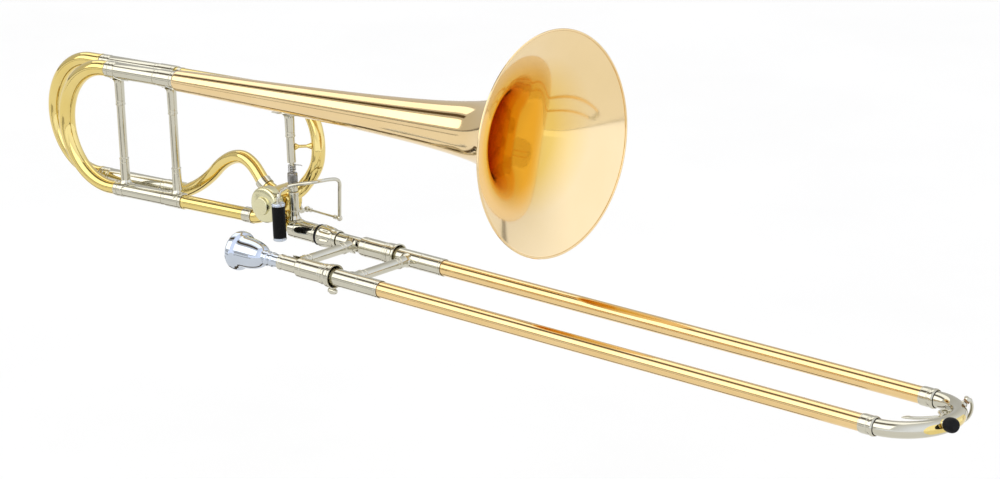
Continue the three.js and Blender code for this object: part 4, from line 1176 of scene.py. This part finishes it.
def glowing(name, strength, colour=(1, 1, 1)):
    made = bpy.data.materials.new(name)
    made.use_nodes = True
    tree = made.node_tree
    tree.nodes.clear()
    light = node(tree, "ShaderNodeEmission")
    fed(strength, light.inputs["Strength"])
    fed(colour, light.inputs["Color"])
    fed(light.outputs["Emission"], node(tree, "ShaderNodeOutputMaterial").inputs["Surface"])
    return made


def panel(name, corners, finish):
    """A flat four-cornered surface of the studio."""
    mesh = bpy.data.meshes.new(name)
    mesh.from_pydata(corners, [], [(0, 1, 2, 3)])
    mesh.materials.append(finish)
    obj = bpy.data.objects.new(name, mesh)
    bpy.context.scene.collection.objects.link(obj)
    return obj


def card(name, corners, finish):
    """A studio card that is only for reflections: it has no shadow, and the camera looks past it."""
    obj = panel(name, corners, finish)
    obj.visible_camera = False
    obj.visible_shadow = False
    obj.visible_diffuse = False


def lying(low, high, height):
    (x0, y0), (x1, y1) = low, high
    return [(x0, y0, height), (x1, y0, height), (x1, y1, height), (x0, y1, height)]


def standing(start, end, bottom, top):
    return [(*start, bottom), (*end, bottom), (*end, top), (*start, top)]


def overhead(name, from_angle, to_angle, distance, finish, end):
    """A card along X over the instrument, between two angles up from the near side."""
    first, last = [(-distance * cos(a), distance * sin(a))
                   for a in (radians(from_angle), radians(to_angle))]
    card(name, [(CARD_START, *first), (end, *first), (end, *last), (CARD_START, *last)], finish)


def studio():
    ground = cad_box[0].z - FLOOR_DROP
    floor, tree, surface = new_finish("studio floor")
    fed(0.9, surface["Roughness"])
    speck = ranged(tree, noise(tree, 3), 0, 1)
    fed(mixed(tree, speck, (0.93, 0.93, 0.93), (0.95, 0.95, 0.95)), surface["Base Color"])
    panel("floor", lying((-FLOOR_SIZE, -FLOOR_SIZE), (FLOOR_SIZE, FLOOR_SIZE), ground), floor)
    dark = glowing("dark card", 0.11, DARK_TINT)
    overhead("dark_gap", 68, 82, 2.6, dark, 0.5)
    overhead("near_softbox", 14, 57, SOFTBOX_DISTANCE, glowing("near softbox", 2.2), 0.9)
    overhead("far_softbox", 90, 126, SOFTBOX_DISTANCE, glowing("far softbox", 1.7), 0.5)
    card("dark_strip", lying((-1.7, -0.03), (0.3, 0.1), ground + 0.01), dark)
    grey = glowing("grey card", 0.5)
    card("grey_near_card", standing((-2.6, -1.5), (-0.2, -1.7), ground + 0.05, ground + 0.2), grey)
    pale = glowing("pale wall", RIGHT_LIGHT, RIGHT_TINT)
    for name, start, end in (("right", (3.6, -4.05), (3.2, 7.5)), ("near", (-1.0, -4.05), (3.6, -4.05))):
        card(f"{name}_wall_foot", standing(start, end, ground, ground + WALL_FOOT), dark)
        card(f"{name}_wall", standing(start, end, ground + WALL_FOOT, ground + WALL_TOP), pale)
    surroundings()
    scene = bpy.context.scene
    scene.view_settings.view_transform = "Standard"
    scene.cycles.glossy_bounces = 10


def surroundings():
    """An even white room. In reflections it is dimmer at the player's end and has a dark skirting line."""
    world = bpy.data.worlds.new("studio")
    world.use_nodes = True
    tree = world.node_tree
    background = tree.nodes["Background"].inputs
    x, z = object_point(tree, "X", "Generated"), object_point(tree, "Z", "Generated")
    side = ranged(tree, x, LEFT_LIGHT, RIGHT_LIGHT, -0.4, 0.75)
    skirting = ranged(tree, z, 0.35, 1.0, 0.012, 0.03)
    reflected = node(tree, "ShaderNodeLightPath").outputs["Is Glossy Ray"]
    strength = mixed(tree, reflected, ROOM_LIGHT, product(tree, side, skirting), "FLOAT")
    fed(strength, background["Strength"])
    tint = product(tree, ranged(tree, x, 0, 1, -0.1, 0.5), reflected)
    fed(mixed(tree, tint, (1, 1, 1), RIGHT_TINT), background["Color"])
    bpy.context.scene.world = world


CAMERA_LENS = 118.97
CAMERA_TARGET = Vector((0.22852, -0.0010, 0.06176))
CAMERA_AZIMUTH = radians(41.0)
CAMERA_ELEVATION = radians(17.13)
CAMERA_DISTANCE = 3.07221


def camera():
    data = bpy.data.cameras.new("camera")
    data.lens = CAMERA_LENS
    data.sensor_width = 36
    data.clip_end = 200
    obj = bpy.data.objects.new("camera", data)
    level = cos(CAMERA_ELEVATION)
    way = Vector((level * sin(CAMERA_AZIMUTH), -level * cos(CAMERA_AZIMUTH), sin(CAMERA_ELEVATION)))
    obj.location = CAMERA_TARGET + way * CAMERA_DISTANCE
    obj.rotation_euler = (-way).to_track_quat("-Z", "Y").to_euler()
    bpy.context.scene.collection.objects.link(obj)
    bpy.context.scene.camera = obj


studio()
camera()
